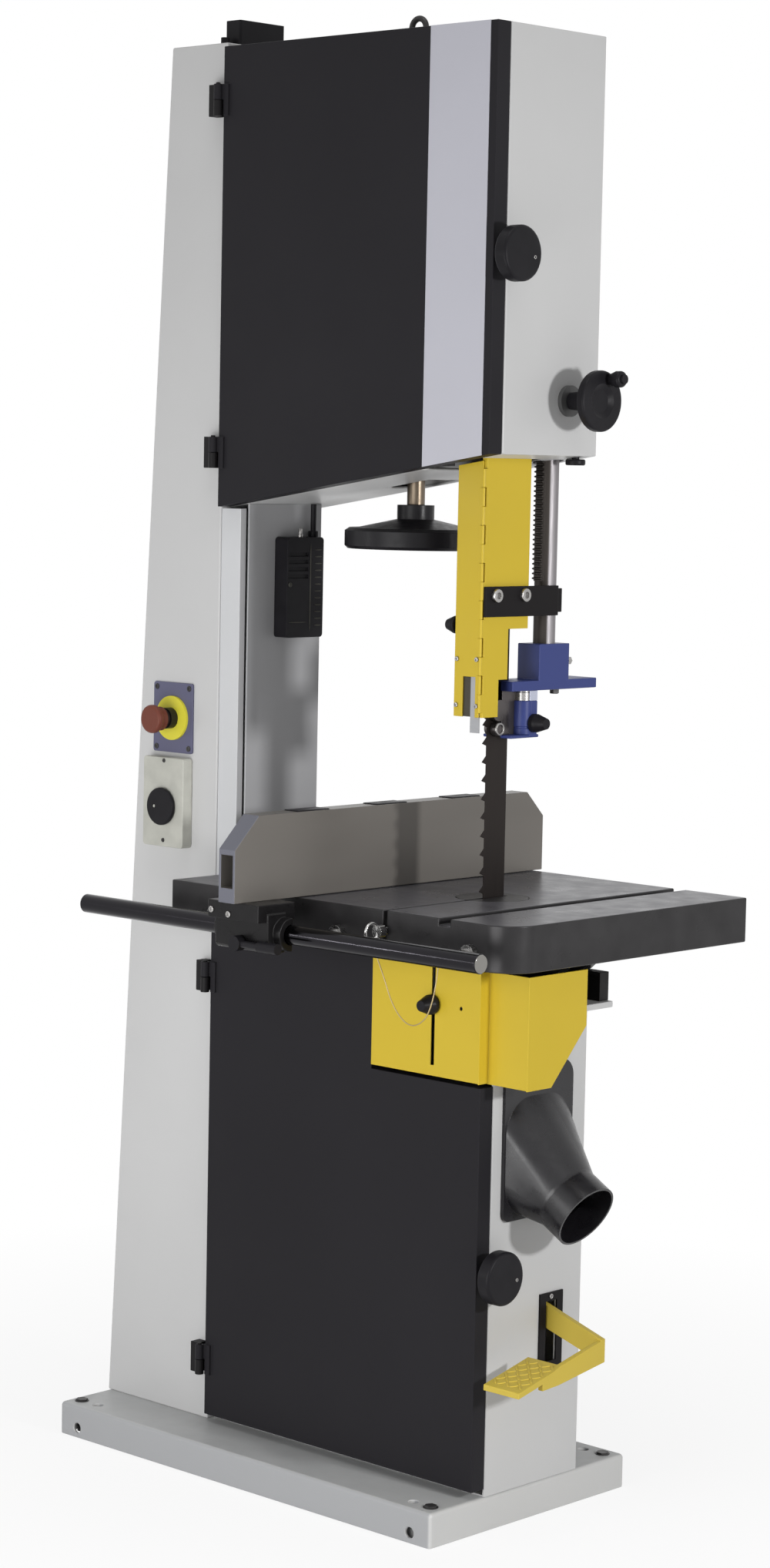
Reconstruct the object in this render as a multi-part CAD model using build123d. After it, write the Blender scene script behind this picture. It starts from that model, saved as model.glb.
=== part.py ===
from build123d import *
import math
import os

os.makedirs("parts", exist_ok=True)

# Driving sizes, in mm. +Z is up, the doors face -Y and the column stands at -X.
# The origin is the middle of the base pan, on the floor.

# Base pan
base_width = 710.0
base_depth = 390.0
base_height = 46.0
base_wall = 5.0
base_corner = 6.0
anchor_inset_x = 52.0
anchor_inset_y = 25.0
anchor_hole_r = 7.0
anchor_sleeve_wall = 6.0
cross_hole_inset = 35.5
cross_hole_z = 14.0
cross_hole_r = 7.2
level_inset_x = 20.0
level_inset_y = 23.0
level_rod_r = 6.0
level_gap = 0.4
level_foot = 3.0
level_washer_r = 10.0
level_washer = 0.8
level_head_r = 8.5
level_head = 2.2

# Wheels and blade
wheel_diameter = 410.0
wheel_width = 42.0
tyre_thickness = 5.0
tyre_gap = 0.3
lower_wheel_z = 340.0
rim_thickness = 14.0
web_thickness = 10.0
web_holes = 6
web_hole_r = 40.0
web_hole_circle = 116.0
hub_wall = 13.0
hub_front = 4.0
hub_back = 8.0
blade_width = 44.0
blade_thickness = 1.1
tooth_pitch = 24.0
tooth_depth = 8.0
tooth_overhang = 4.4
blade_mid_y = -22.0
blade_inset = 71.0
axle_r = 15.0
axle_cap = 5.0
axle_cap_length = 8.0
axle_flange_r = 48.0
axle_flange = 12.0
bearing_r = 31.0
bearing_width = 14.0
running_gap = 0.05

# Cabinets, column and doors
cabinet_top = 1925.0
cabinet_headroom = 55.0
cabinet_footroom = 148.0
cabinet_half_depth = 92.0
sheet = 3.0
upper_setback = 10.0
underside_angle = 9.0
lower_housing_drop = 19.0
shelf_clearance = 20.0
step_width = 116.0
column_proud = 12.0
column_wall = 4.0
column_top_width = 108.0
column_top_rise = 7.0
column_blade_gap = 22.3
channel_blade_gap = 14.7
channel_back = 54.0
channel_front_gap = 6.0
cover_setback = 2.0
cover_lap = 1.0
cover_gap = 0.6
door_depth = 25.0
door_sheet = 2.5
door_gap = 7.0
door_seal_gap = 0.4
lower_door_lift = 11.0
band_width = 101.0
band_inset = 12.0
band_thickness = 0.8

# Door hinges and knobs
hinge_height = 42.0
hinge_leaf = 21.0
hinge_knuckle_r = 6.0
hinge_pin_r = 3.0
hinge_stand = 7.0
hinge_gap = 0.6
hinge_play = 0.3
hinge_plate = 4.0
door_leaf = 16.0
upper_hinge_drop = 71.0
upper_hinge_rise = 73.0
lower_hinge_drop = 68.0
lower_hinge_rise = 78.0
door_knob_r = 35.0
door_knob_neck = 20.0
door_knob_head = 20.0
door_stud_r = 6.0
upper_knob_drop = 27.0
lower_knob_z = 343.0

# Table, rail and fence
table_height = 816.0
table_thickness = 59.0
table_plate = 14.0
table_skirt = 14.0
table_corner = 42.0
table_channel_gap = 5.5
table_right_reach = 213.0
table_front_reach = 203.0
table_back_reach = 265.0
rib_thickness = 10.0
rib_offset = 150.0
rib_lift = 14.0
mitre_offset = 101.0
mitre_width = 19.0
mitre_depth = 9.5
insert_r = 47.5
insert_thickness = 4.0
insert_ledge = 12.0
slit_width = 6.0
pin_drop = 26.0
pin_r = 5.0
pin_length = 26.0
pin_ring_r = 11.0
pin_ring_wire_r = 2.0
pin_ring_stand = 24.0
rail_r = 12.5
rail_stand = 59.0
rail_drop = 38.0
rail_left = -212.0
rail_right = 499.5
stud_x = (-20.0, 205.0, 430.0)
stud_r = 6.0
fence_offset = 152.0
fence_thickness = 29.0
fence_height = 110.0
fence_front_reach = 117.0
fence_back_reach = 11.0
fence_wall = 4.0
fence_front_chamfer = 42.0
fence_back_chamfer = 34.0
fence_hollow_rise = 19.0
fence_hollow_height = 42.0
fence_lift = 1.0
carriage_width = 120.0
carriage_gap = 40.0
carriage_collar = 12.0
carriage_round = 8.0
lever_drop = 14.0
lever_r = 5.0
lanyard_r = 0.8
lanyard_stand = 16.0
lanyard_span = 100.0

# Tilt
trunnion_r = 122.0
trunnion_width = 18.0
trunnion_gap = 0.35
trunnion_depth = 42.0
saddle_height = 38.0
shelf_thickness = 8.0
shelf_left = 112.0
shelf_right = 114.0
shelf_front = 14.0
saddle_left = 90.0
saddle_right = 106.0
segment_offsets = (24.0, 74.0)

# Blade guide post and guards
guide_drop = 214.0
guide_block_height = 47.0
guide_block_width = 38.0
guide_block_depth = 60.0
guide_block_offset = 30.2
guide_plate_length = 117.0
guide_fork_inset = 24.0
guide_plate = 13.0
guide_body_height = 61.0
guide_body_front = 16.0
guide_body_depth = 15.0
guide_body_near = 5.0
guide_body_far = 24.0
guide_cap_height = 13.0
guide_foot = 4.0
guide_knob_drop = 55.0
guide_knob_r = 12.0
guide_pad_drops = (62.0, 38.0)
guide_pad_radii = (9.0, 14.0)
guide_pad_reach = 9.5
guide_holder_far = 7.5
post_r = 14.5
post_offset_x = 6.0
post_offset_y = 84.0
post_engagement = 39.0
post_guide_width = 48.0
post_guide_height = 130.0
post_guide_rise = 22.0
post_guide_foot = 32.0
post_length = 594.0
rack_half = 7.0
rack_proud = 4.0
rack_end = 34.0
pinion_rise = 147.0
pinion_pitch_r = 10.0
pinion_teeth = 10
pinion_shaft_r = 7.0
mesh_backlash = 0.6
post_wheel_stand = 52.0
post_wheel_r = 39.0
post_wheel_thickness = 12.0
crank_offset_y = 14.0
crank_offset_z = 28.0
crank_pin_r = 3.5
crank_grip_r = 10.5
crank_grip_end = 27.0
post_wheel_dish = 4.0
lock_knob_inset = 14.0
lock_knob_offset = 6.0
lock_knob_r = 13.0
lock_knob_height = 8.0
lock_stud_r = 5.0
clamp_rise = 84.0
clamp_height = 39.0
bar_thickness = 5.0
bar_back_reach = 5.0
grip_half = 18.0
guard_right_gap = 20.0
guard_width = 47.0
guard_front_gap = 31.0
guard_sheet = 2.0
guard_drop = 45.0
guard_step_low_rise = 3.0
guard_step_high_rise = 68.0
guard_knob_rise = 72.0
guard_knuckle = 24.0
guard_knuckle_r = 1.9
guard_pin_r = 0.9
guard_top_gap = 1.0
guard_window_height = 52.0
guard_lip_gap = 0.6
guard_lip = 6.0
shield_height = 58.0
shield_drop = 20.0
shield_inset = 27.0
guard_side_rise = 288.0

# Tension and drive
axle_block_width = 72.0
axle_block_low = 70.0
axle_block_high = 60.0
axle_block_gap = 17.0
slide_offset = 52.0
slide_width = 32.0
slide_depth = 30.0
slide_low = 150.0
slide_high = 130.0
screw_bearing_width = 48.0
screw_bearing_height = 34.0
screw_bearing_rise = 26.0
tension_screw_r = 12.0
tension_screw_y = 39.0
tension_wheel_r = 95.0
tension_drop = 51.0
tension_rim_height = 28.0
tension_rim_width = 20.0
tension_hub_r = 25.0
tension_hub_height = 31.0
wheel_pulley_r = 72.0
motor_pulley_r = 36.0
groove_depth = 2.0
pulley_lip = 3.0
motor_offset_x = 100.15
motor_offset_z = 205.0
motor_r = 82.0
motor_length = 190.0
motor_shaft_r = 10.0
belt_width = 20.0
belt_thickness = 4.0

# Lower guard, dust port and foot brake
lower_guard_gap = 22.0
lower_guard_height = 143.0
lower_guard_stand = 7.0
lower_guard_reach = 69.0
lower_guard_jog = 20.0
lower_guard_sheet = 2.0
lower_guard_knob_drop = 50.0
lower_guard_slot_offset = 7.0
notch_offset = 121.0
notch_gap = 7.0
port_drop = 86.0
port_width = 130.0
port_height = 159.0
port_hood_drop = 19.0
port_corner = 48.0
port_mid_y = -6.0
port_flange = 5.0
port_flange_width = 134.0
port_flange_height = 202.0
port_flange_top_corner = 24.0
port_flange_low_corner = 11.0
port_reach = 88.0
port_fall = 88.5
port_angle = 30.0
port_r = 46.0
port_wall = 3.0
port_neck = 37.0
port_neck_bend = 14.0
pedal_pivot_inset = 175.0
pedal_pivot_z = 318.0
pedal_pivot_r = 7.0
pedal_boss_r = 18.0
pedal_y = 27.0
pedal_bar = 8.0
pedal_bar_height = 31.0
pedal_reach = 95.0
pedal_tip_z = 237.0
pedal_tread_width = 60.0
pedal_tread_length = 86.0
pedal_tread = 8.0
pedal_tread_z = 232.0
pedal_tread_fall = 20.0
pedal_tail = 32.0
pedal_plate = 2.5
pedal_plate_z = 247.0
pedal_plate_height = 100.0
pedal_plate_width = 46.0
pedal_slot_width = 22.0
pedal_slot_height = 81.0

# Electric fittings
estop_x = -236.0
estop_z = 1019.0
estop_plate_width = 78.0
estop_plate_height = 97.0
estop_plate_thickness = 3.0
estop_ring_r = 30.5
estop_collar_r = 14.5
estop_stem_r = 12.0
estop_head_r = 19.5
estop_neck_r = 16.5
switch_x = -238.0
switch_drop = 116.0
switch_width = 80.0
switch_height = 124.0
switch_depth = 18.0
switch_knob_drop = 6.0
switch_knob_r = 26.0
switch_knob_thickness = 6.0
switch_mark_offset = 11.0
switch_stem_r = 7.0
limit_box_inset = 37.0
limit_box_width = 29.0
limit_box_depth = 85.0
limit_box_height = 40.0
louvre_box_drop = 40.0
louvre_box_height = 137.0
louvre_box_depth = 25.0
louvre_box_front = -36.0
louvre_box_width = 70.0
louvre_rows = 4
louvre_pitch = 10.0
louvre_length = 38.0
cable_r = 4.0

# Places that follow from the driving sizes
base_half = base_width / 2
lower_right = base_half
upper_right = lower_right - upper_setback
front = -cabinet_half_depth
back = cabinet_half_depth
blade_x = lower_right - blade_inset
wheel_r = wheel_diameter / 2
wheel_x = blade_x - blade_thickness / 2 - tyre_gap - wheel_r
return_x = wheel_x - wheel_r - tyre_gap - blade_thickness / 2
upper_wheel_z = cabinet_top - cabinet_headroom - wheel_r
wheel_centres = upper_wheel_z - lower_wheel_z
blade_front = blade_mid_y - blade_width / 2
blade_back = blade_mid_y + blade_width / 2
wheel_front = blade_mid_y - wheel_width / 2
wheel_back = blade_mid_y + wheel_width / 2
underside_left = upper_wheel_z - wheel_r - cabinet_footroom
column_front = front - column_proud
column_right = return_x - column_blade_gap
column_left_top = column_right - column_top_width
column_top = cabinet_top + column_top_rise
channel_right = return_x + channel_blade_gap
door_left = column_right + door_gap
door_front = front - door_depth
door_knob_y = (front + door_front) / 2
upper_knob_z = upper_wheel_z - upper_knob_drop
hinge_x = column_right + door_gap / 2
hinge_y = door_front - hinge_stand
slope = math.tan(math.radians(underside_angle))
floor_sheet = sheet / math.cos(math.radians(underside_angle))
table_left = channel_right + table_channel_gap
table_right = blade_x + table_right_reach
table_front = blade_mid_y - table_front_reach
table_back = blade_mid_y + table_back_reach
table_bottom = table_height - table_thickness
pin_z = table_height - pin_drop
rail_y = table_front - rail_stand
rail_z = table_height - rail_drop
lower_housing_top = table_bottom - lower_housing_drop
shelf_seat = table_height - trunnion_r - shelf_clearance
shelf_top = shelf_seat + shelf_thickness
segment_y = tuple(blade_back + offset for offset in segment_offsets)
upper_hinge_z = (underside_left + upper_hinge_rise, cabinet_top - upper_hinge_drop)
lower_hinge_z = (base_height + lower_door_lift + lower_hinge_rise, lower_housing_top - lower_hinge_drop)
fence_right = blade_x - fence_offset
fence_left = fence_right - fence_thickness
fence_bottom = table_height + fence_lift
fence_front = table_front - fence_front_reach
fence_back = table_back + fence_back_reach
fence_top = fence_bottom + fence_height
carriage_mid = (fence_left + fence_right) / 2
lever_z = rail_z - lever_drop
lanyard_y = table_front - lanyard_stand
lanyard_end_x = blade_x + lanyard_span
guide_block_bottom = underside_left - guide_drop
guide_block_top = guide_block_bottom + guide_block_height
post_x = blade_x + post_offset_x
post_y = blade_mid_y + post_offset_y
post_bottom = guide_block_top - post_engagement
post_top = post_bottom + post_length
clamp_low = guide_block_bottom + clamp_rise
clamp_high = clamp_low + clamp_height
rack_bottom = clamp_high + bar_thickness
rack_top = post_top - rack_end
pinion_y = post_y - post_r - rack_proud - pinion_pitch_r
pinion_z = underside_left + pinion_rise
post_wheel_x = upper_right + post_wheel_stand
crank_y = pinion_y + crank_offset_y
crank_z = pinion_z + crank_offset_z
lock_knob_x = upper_right - lock_knob_inset
lock_knob_y = post_y + lock_knob_offset
guard_right = blade_x + guard_right_gap
guard_left = guard_right - guard_width
guard_front_y = blade_front - guard_front_gap
guard_bottom = guide_block_bottom - guard_drop
guard_step_low = guide_block_bottom + guard_step_low_rise
guard_step_high = guide_block_bottom + guard_step_high_rise
guard_knob_z = guide_block_bottom + guard_knob_rise
guard_hinge_x = guard_right - guard_knuckle_r - 0.4
guard_hinge_y = guard_front_y - 1.0
guard_front_top = underside_left + slope * (guard_left - door_left) - guard_top_gap
guide_knob_y = blade_back + guide_body_front + guide_body_depth / 2
guide_knob_z = guide_block_bottom - guide_knob_drop
guard_side_top = underside_left + guard_side_rise
tension_rim_bottom = underside_left - tension_drop
motor_x = wheel_x - motor_offset_x
motor_z = lower_wheel_z + motor_offset_z
pulley_front = wheel_back + hub_back
pulley_back = pulley_front + belt_width + 2 * pulley_lip
lower_guard_top = table_bottom - lower_guard_gap
lower_guard_bottom = lower_guard_top - lower_guard_height
lower_guard_knob_z = lower_guard_top - lower_guard_knob_drop
lower_guard_y = door_front - lower_guard_stand
notch_x = blade_x - notch_offset
lower_slot_x = blade_x - lower_guard_slot_offset
notch_z = lower_guard_bottom - notch_gap
lower_guard_left = notch_x + 6.0
lower_guard_right = lower_right + lower_guard_reach
port_x = lower_right
port_z = lower_guard_bottom - port_drop
port_axis = (math.cos(math.radians(port_angle)), 0.0, -math.sin(math.radians(port_angle)))
port_mouth = (port_x + port_reach, port_mid_y, port_z - port_fall)
pedal_pivot_x = lower_right - pedal_pivot_inset
switch_z = estop_z - switch_drop
switch_knob_z = switch_z - switch_knob_drop
louvre_box_top = underside_left - louvre_box_drop


def underside(x):
    return underside_left + slope * (x - door_left)


def block(x0, x1, y0, y1, z0, z1):
    middle = Pos((x0 + x1) / 2, (y0 + y1) / 2, (z0 + z1) / 2)
    return middle * Box(x1 - x0, y1 - y0, z1 - z0)


def rod_x(x0, x1, y, z, r):
    return Pos((x0 + x1) / 2, y, z) * Rot(0, 90, 0) * Cylinder(r, x1 - x0)


def rod_y(x, y0, y1, z, r):
    return Pos(x, (y0 + y1) / 2, z) * Rot(-90, 0, 0) * Cylinder(r, y1 - y0)


def rod_z(x, y, z0, z1, r):
    return Pos(x, y, (z0 + z1) / 2) * Cylinder(r, z1 - z0)


def cone_x(x0, x1, y, z, r0, r1):
    return Pos((x0 + x1) / 2, y, z) * Rot(0, 90, 0) * Cone(r0, r1, x1 - x0)


def cone_y(x, y0, y1, z, r0, r1):
    return Pos(x, (y0 + y1) / 2, z) * Rot(-90, 0, 0) * Cone(r0, r1, y1 - y0)


def prism_xz(points, y0, y1):
    outline = Polyline(*[(x, y1, z) for x, z in points], close=True)
    return extrude(make_face(outline), amount=y1 - y0, dir=(0, -1, 0))


def prism_yz(points, x0, x1):
    outline = Polyline(*[(x0, y, z) for y, z in points], close=True)
    return extrude(make_face(outline), amount=x1 - x0, dir=(1, 0, 0))


def upright_edges(shape):
    return shape.edges().filter_by(Axis.Z)


def save(name, shape):
    if isinstance(shape, list):
        shape = Compound(children=shape)
    export_step(shape, "parts/" + name + ".step")


# Base pan: a folded tray, open below, with a sleeve for an anchor bolt and a hole for
# a levelling screw in each corner and a cross hole through its long walls.
def base_pan():
    tray = block(-base_half, base_half, -base_depth / 2, base_depth / 2, 0, base_height)
    top_edges = tray.faces().sort_by(Axis.Z)[-1].edges()
    tray = fillet(upright_edges(tray) + top_edges, base_corner)
    inner_x = base_half - base_wall
    inner_y = base_depth / 2 - base_wall
    tray -= block(-inner_x, inner_x, -inner_y, inner_y, -1, base_height - base_wall)
    for sx in (-1, 1):
        cross_x = sx * (base_half - cross_hole_inset)
        tray -= rod_y(cross_x, -base_depth, base_depth, cross_hole_z, cross_hole_r)
        for sy in (-1, 1):
            anchor_x = sx * (base_half - anchor_inset_x)
            anchor_y = sy * (base_depth / 2 - anchor_inset_y)
            sleeve_r = anchor_hole_r + anchor_sleeve_wall
            tray += rod_z(anchor_x, anchor_y, 0, base_height - base_wall / 2, sleeve_r)
            tray -= rod_z(anchor_x, anchor_y, -1, base_height + 1, anchor_hole_r)
            level_x = sx * (base_half - level_inset_x)
            level_y = sy * (base_depth / 2 - level_inset_y)
            tray -= rod_z(level_x, level_y, 0, base_height + 1, level_rod_r + level_gap)
    return tray


def levelling_screws():
    screws = []
    for sx in (-1, 1):
        for sy in (-1, 1):
            x = sx * (base_half - level_inset_x)
            y = sy * (base_depth / 2 - level_inset_y)
            screw = rod_z(x, y, level_foot, base_height + level_head, level_rod_r)
            screw += rod_z(x, y, base_height, base_height + level_washer, level_washer_r)
            head = extrude(RegularPolygon(radius=level_head_r, side_count=6), amount=level_head)
            screw += Pos(x, y, base_height + level_washer) * head
            screws.append(screw)
    return screws


# Column: a tapered box, wide at the foot, closed on top and open to the base below.
def column():
    foot = -base_half
    outer = [(foot, base_height), (column_right, base_height)]
    outer += [(column_right, column_top), (column_left_top, column_top)]
    body = prism_xz(outer, column_front, back)
    lean = (column_left_top - foot) / (column_top - base_height)
    roof = column_top - column_wall
    left_low = foot + column_wall
    left_high = foot + lean * (roof - base_height) + column_wall
    inner = [(left_low - lean, base_height - 1), (column_right - column_wall, base_height - 1)]
    inner += [(column_right - column_wall, roof), (left_high, roof)]
    return body - prism_xz(inner, column_front + column_wall, back - column_wall)


# Return channel: the folded plate that hides the returning side of the blade.
def return_channel():
    low = lower_housing_top
    inner = channel_right - sheet
    outline = [(inner, low), (channel_right, low)]
    outline += [(channel_right, underside(channel_right)), (inner, underside(inner))]
    side = prism_xz(outline, front + channel_front_gap, channel_back)
    outline = [(column_right, low), (channel_right, low)]
    outline += [(channel_right, underside(channel_right)), (column_right, underside(column_right))]
    return side + prism_xz(outline, channel_back - sheet, channel_back)


def return_cover():
    low = lower_housing_top
    high = underside(column_right) - cover_gap
    face_y = column_front + cover_setback
    face = block(column_right, channel_right, face_y, face_y + sheet, low, high)
    return face + block(channel_right - sheet, channel_right, face_y, front + cover_lap, low, high)


# Upper housing: an open-fronted box with a sloping floor. The floor is cut for the
# blade and its guard, for the guide post, for the tension screw and for the return run.
def upper_housing():
    left = column_right
    right = upper_right
    outer = [(left, underside(left)), (right, underside(right))]
    outer += [(right, cabinet_top), (left, cabinet_top)]
    body = prism_xz(outer, front, back)
    inner = [(left + sheet, underside(left + sheet) + floor_sheet)]
    inner += [(right - sheet, underside(right - sheet) + floor_sheet)]
    inner += [(right - sheet, cabinet_top - sheet), (left + sheet, cabinet_top - sheet)]
    body -= prism_xz(inner, front - 1, back - sheet)
    low = underside_left - 20
    high = underside(right) + 12
    slot = block(blade_x - 76, guard_right + 8, front - 20, blade_back + 30, low, high)
    body -= fillet(upright_edges(slot), 10.0)
    body -= rod_z(post_x, post_y, low, high, post_r + 6.0)
    body -= block(post_x - 10, post_x + 10, pinion_y - 2, post_y, low, high)
    body -= block(wheel_x - 34, wheel_x + 46, tension_screw_y - 26, back - 8, low, high)
    body -= block(left + sheet + 2, channel_right - sheet, blade_front - 12, blade_back + 20, low, high)
    body -= rod_z(lock_knob_x, lock_knob_y, low, high, lock_stud_r + running_gap)
    body -= rod_x(right - 10, right + 10, pinion_y, pinion_z, 12.0)
    body -= rod_y(wheel_x, back - 10, back + 10, upper_wheel_z, 8.0)
    return body


# Lower housing: an open-fronted box, stepped down at the right to seat the tilt shelf.
def lower_housing():
    left = column_right
    right = lower_right
    step = blade_x - step_width
    outer = [(left, base_height), (right, base_height), (right, shelf_seat)]
    outer += [(step, shelf_seat), (step, lower_housing_top), (left, lower_housing_top)]
    body = prism_xz(outer, front, back)
    inner = [(left + sheet, base_height + sheet), (right - sheet, base_height + sheet)]
    inner += [(right - sheet, shelf_seat - sheet), (step - sheet, shelf_seat - sheet)]
    inner += [(step - sheet, lower_housing_top - sheet), (left + sheet, lower_housing_top - sheet)]
    body -= prism_xz(inner, front - 1, back - sheet)
    high = lower_housing_top + 10
    body -= block(left + sheet + 2, channel_right - sheet, front - 1, blade_back + 20, high - 40, high)
    gap = blade_width / 2
    body -= block(blade_x - gap, blade_x + gap, front - 1, blade_back + 10, shelf_seat - 10, shelf_seat + 1)
    wide = port_width - 24
    tall = port_height - 30
    body -= Pos(right, port_mid_y, port_z - port_hood_drop) * Box(20, wide, tall)
    tall = pedal_slot_height + 9
    body -= Pos(right, pedal_y + 4, pedal_plate_z) * Box(20, pedal_slot_width, tall)
    body -= rod_y(motor_x, back - 10, back + 10, motor_z, 24.0)
    return body + tilt_shelf()


def shell_door(outline, inner):
    pan = prism_xz(outline, door_front, front - door_seal_gap)
    return pan - prism_xz(inner, door_front + door_sheet, front)


# Upper door: a folded pan with the same sloping lower edge as its housing.
def upper_door():
    left = door_left
    right = upper_right
    t = door_sheet
    lift = t / math.cos(math.radians(underside_angle))
    outline = [(left, underside(left)), (right, underside(right))]
    outline += [(right, cabinet_top), (left, cabinet_top)]
    inner = [(left + t, underside(left + t) + lift), (right - t, underside(right - t) + lift)]
    inner += [(right - t, cabinet_top - t), (left + t, cabinet_top - t)]
    pan = shell_door(outline, inner)
    pan -= rod_x(right - 8, right + 8, door_knob_y, upper_knob_z, door_stud_r + running_gap)
    for z in upper_hinge_z:
        pan += door_hinge(z)
    return pan


def door_band():
    right = upper_right - band_inset
    left = right - band_width
    outline = [(left, underside(left)), (right, underside(right))]
    outline += [(right, cabinet_top), (left, cabinet_top)]
    return prism_xz(outline, door_front - band_thickness, door_front)


# Lower door: a folded pan, notched at its upper right so it swings clear of the guard.
def lower_door():
    left = door_left
    right = lower_right
    low = base_height + lower_door_lift
    high = lower_housing_top
    t = door_sheet
    outline = [(left, low), (right, low), (right, notch_z), (notch_x, notch_z)]
    outline += [(notch_x, high), (left, high)]
    inner = [(left + t, low + t), (right - t, low + t), (right - t, notch_z - t)]
    inner += [(notch_x - t, notch_z - t), (notch_x - t, high - t), (left + t, high - t)]
    pan = shell_door(outline, inner)
    pan -= rod_x(right - 8, right + 8, door_knob_y, lower_knob_z, door_stud_r + running_gap)
    for z in lower_hinge_z:
        pan += door_hinge(z)
    return pan


# Hinges: the frame half carries the lower knuckle and the pin, the door half the upper.
def frame_hinge(z):
    low = z - hinge_height / 2
    high = z + hinge_height / 2
    clear = hinge_knuckle_r + hinge_gap
    leaf = block(hinge_x - hinge_leaf, hinge_x - clear, hinge_y + 3, column_front, low, high)
    y = hinge_y + 1
    leaf += block(hinge_x - clear - 1, hinge_x - 2, y, y + hinge_plate, low, z - hinge_play)
    leaf += rod_z(hinge_x, hinge_y, low, z - hinge_play, hinge_knuckle_r)
    return leaf + rod_z(hinge_x, hinge_y, z - 1, high + 2, hinge_pin_r)


def door_hinge(z):
    low = z - hinge_height / 2
    high = z + hinge_height / 2
    clear = hinge_knuckle_r + hinge_gap
    leaf = block(hinge_x + clear, hinge_x + door_leaf, door_front - hinge_plate, door_front, low, high)
    y = door_front - hinge_plate
    leaf += block(hinge_x + 2, hinge_x + clear + 1, y, door_front, z + hinge_play, high)
    leaf += rod_z(hinge_x, hinge_y, z + hinge_play, high, hinge_knuckle_r)
    return leaf - rod_z(hinge_x, hinge_y, low, high + 1, hinge_pin_r + running_gap)


# Door knobs: a round head on a stud through the right flange of the door.
def door_knob(right, z):
    y = door_knob_y
    head_start = right + door_knob_neck
    head = rod_x(head_start, head_start + door_knob_head, y, z, door_knob_r)
    rims = head.edges().filter_by(GeomType.CIRCLE)
    head = fillet(rims, 4.0)
    head += cone_x(right + 4, head_start, y, z, 14.0, 22.0)
    return head + rod_x(right - 6, right + 5, y, z, door_stud_r)


# Wheels: a rim and a web with round lightening holes, on a hub bored for two bearings.
def wheel(z):
    rim_r = wheel_r - tyre_thickness
    rim = rod_y(wheel_x, wheel_front, wheel_back, z, rim_r)
    rim -= rod_y(wheel_x, wheel_front - 1, wheel_back + 1, z, rim_r - rim_thickness)
    half = web_thickness / 2
    web = rod_y(wheel_x, blade_mid_y - half, blade_mid_y + half, z, rim_r - rim_thickness + 1)
    for turn in range(web_holes):
        angle = math.radians(360 / web_holes * turn)
        hole_x = wheel_x + web_hole_circle * math.cos(angle)
        hole_z = z + web_hole_circle * math.sin(angle)
        web -= rod_y(hole_x, wheel_front, wheel_back, hole_z, web_hole_r)
    hub = rod_y(wheel_x, wheel_front - hub_front, wheel_back + hub_back, z, bearing_r + hub_wall)
    body = rim + web + hub
    return body - rod_y(wheel_x, wheel_front - 9, wheel_back + 9, z, bearing_r + running_gap)


def tyre(z):
    ring = rod_y(wheel_x, wheel_front, wheel_back, z, wheel_r)
    return ring - rod_y(wheel_x, wheel_front - 1, wheel_back + 1, z, wheel_r - tyre_thickness)


def wheel_stub(z, rear):
    stub = rod_y(wheel_x, wheel_front - 3 * hub_front, rear, z, axle_r)
    cap_y = wheel_front - 3 * hub_front
    stub += rod_y(wheel_x, cap_y - axle_cap_length, cap_y, z, axle_r + axle_cap)
    for y in (wheel_front - hub_front, wheel_back + hub_back - bearing_width):
        stub += rod_y(wheel_x, y, y + bearing_width, z, bearing_r)
    return stub


def wheel_pulley():
    z = lower_wheel_z
    pulley = rod_y(wheel_x, pulley_front, pulley_back, z, wheel_pulley_r)
    groove = rod_y(wheel_x, pulley_front + pulley_lip, pulley_back - pulley_lip, z, wheel_pulley_r + 1)
    groove -= rod_y(wheel_x, pulley_front, pulley_back, z, wheel_pulley_r - groove_depth)
    pulley -= groove
    return pulley - rod_y(wheel_x, pulley_front - 1, pulley_back + 1, z, axle_r + 4)


def lower_axle():
    stub = wheel_stub(lower_wheel_z, back - sheet)
    inner = back - sheet
    return stub + rod_y(wheel_x, inner - axle_flange, inner, lower_wheel_z, axle_flange_r)


def motor_pulley():
    shaft = rod_y(motor_x, pulley_front - 6, back + 60, motor_z, motor_shaft_r)
    drum = rod_y(motor_x, pulley_front, pulley_back, motor_z, motor_pulley_r)
    lip = pulley_lip
    groove = rod_y(motor_x, pulley_front + lip, pulley_back - lip, motor_z, motor_pulley_r + 1)
    groove -= rod_y(motor_x, pulley_front, pulley_back, motor_z, motor_pulley_r - groove_depth)
    return shaft + (drum - groove)


def motor():
    start = back
    body = rod_y(motor_x, start, start + 10, motor_z, motor_r + 8)
    body += rod_y(motor_x, start + 10, start + motor_length, motor_z, motor_r)
    for count in range(12):
        y = start + 34 + 9 * count
        cut = rod_y(motor_x, y, y + 5, motor_z, motor_r + 1)
        body -= cut - rod_y(motor_x, y, y + 5, motor_z, motor_r - 6)
    box_y = start + 40
    box_z = motor_z - motor_r
    body += block(motor_x - 40, motor_x + 40, box_y, box_y + 80, box_z - 26, box_z + 8)
    body -= rod_y(motor_x, start - 1, start + 64, motor_z, motor_shaft_r + running_gap)
    return body


def belt_outline(extra):
    big = Pos(wheel_x, lower_wheel_z) * CenterArc((0, 0), wheel_pulley_r - groove_depth + extra, 0, 360)
    small = Pos(motor_x, motor_z) * CenterArc((0, 0), motor_pulley_r - groove_depth + extra, 0, 360)
    return make_hull(big.edges() + small.edges())


def drive_belt():
    band = belt_outline(0.4 + belt_thickness) - belt_outline(0.4)
    mid_y = (pulley_front + pulley_back) / 2
    loop = extrude(band, amount=belt_width / 2 - 0.5, both=True)
    return Pos(0, mid_y, 0) * Rot(90, 0, 0) * loop


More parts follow.
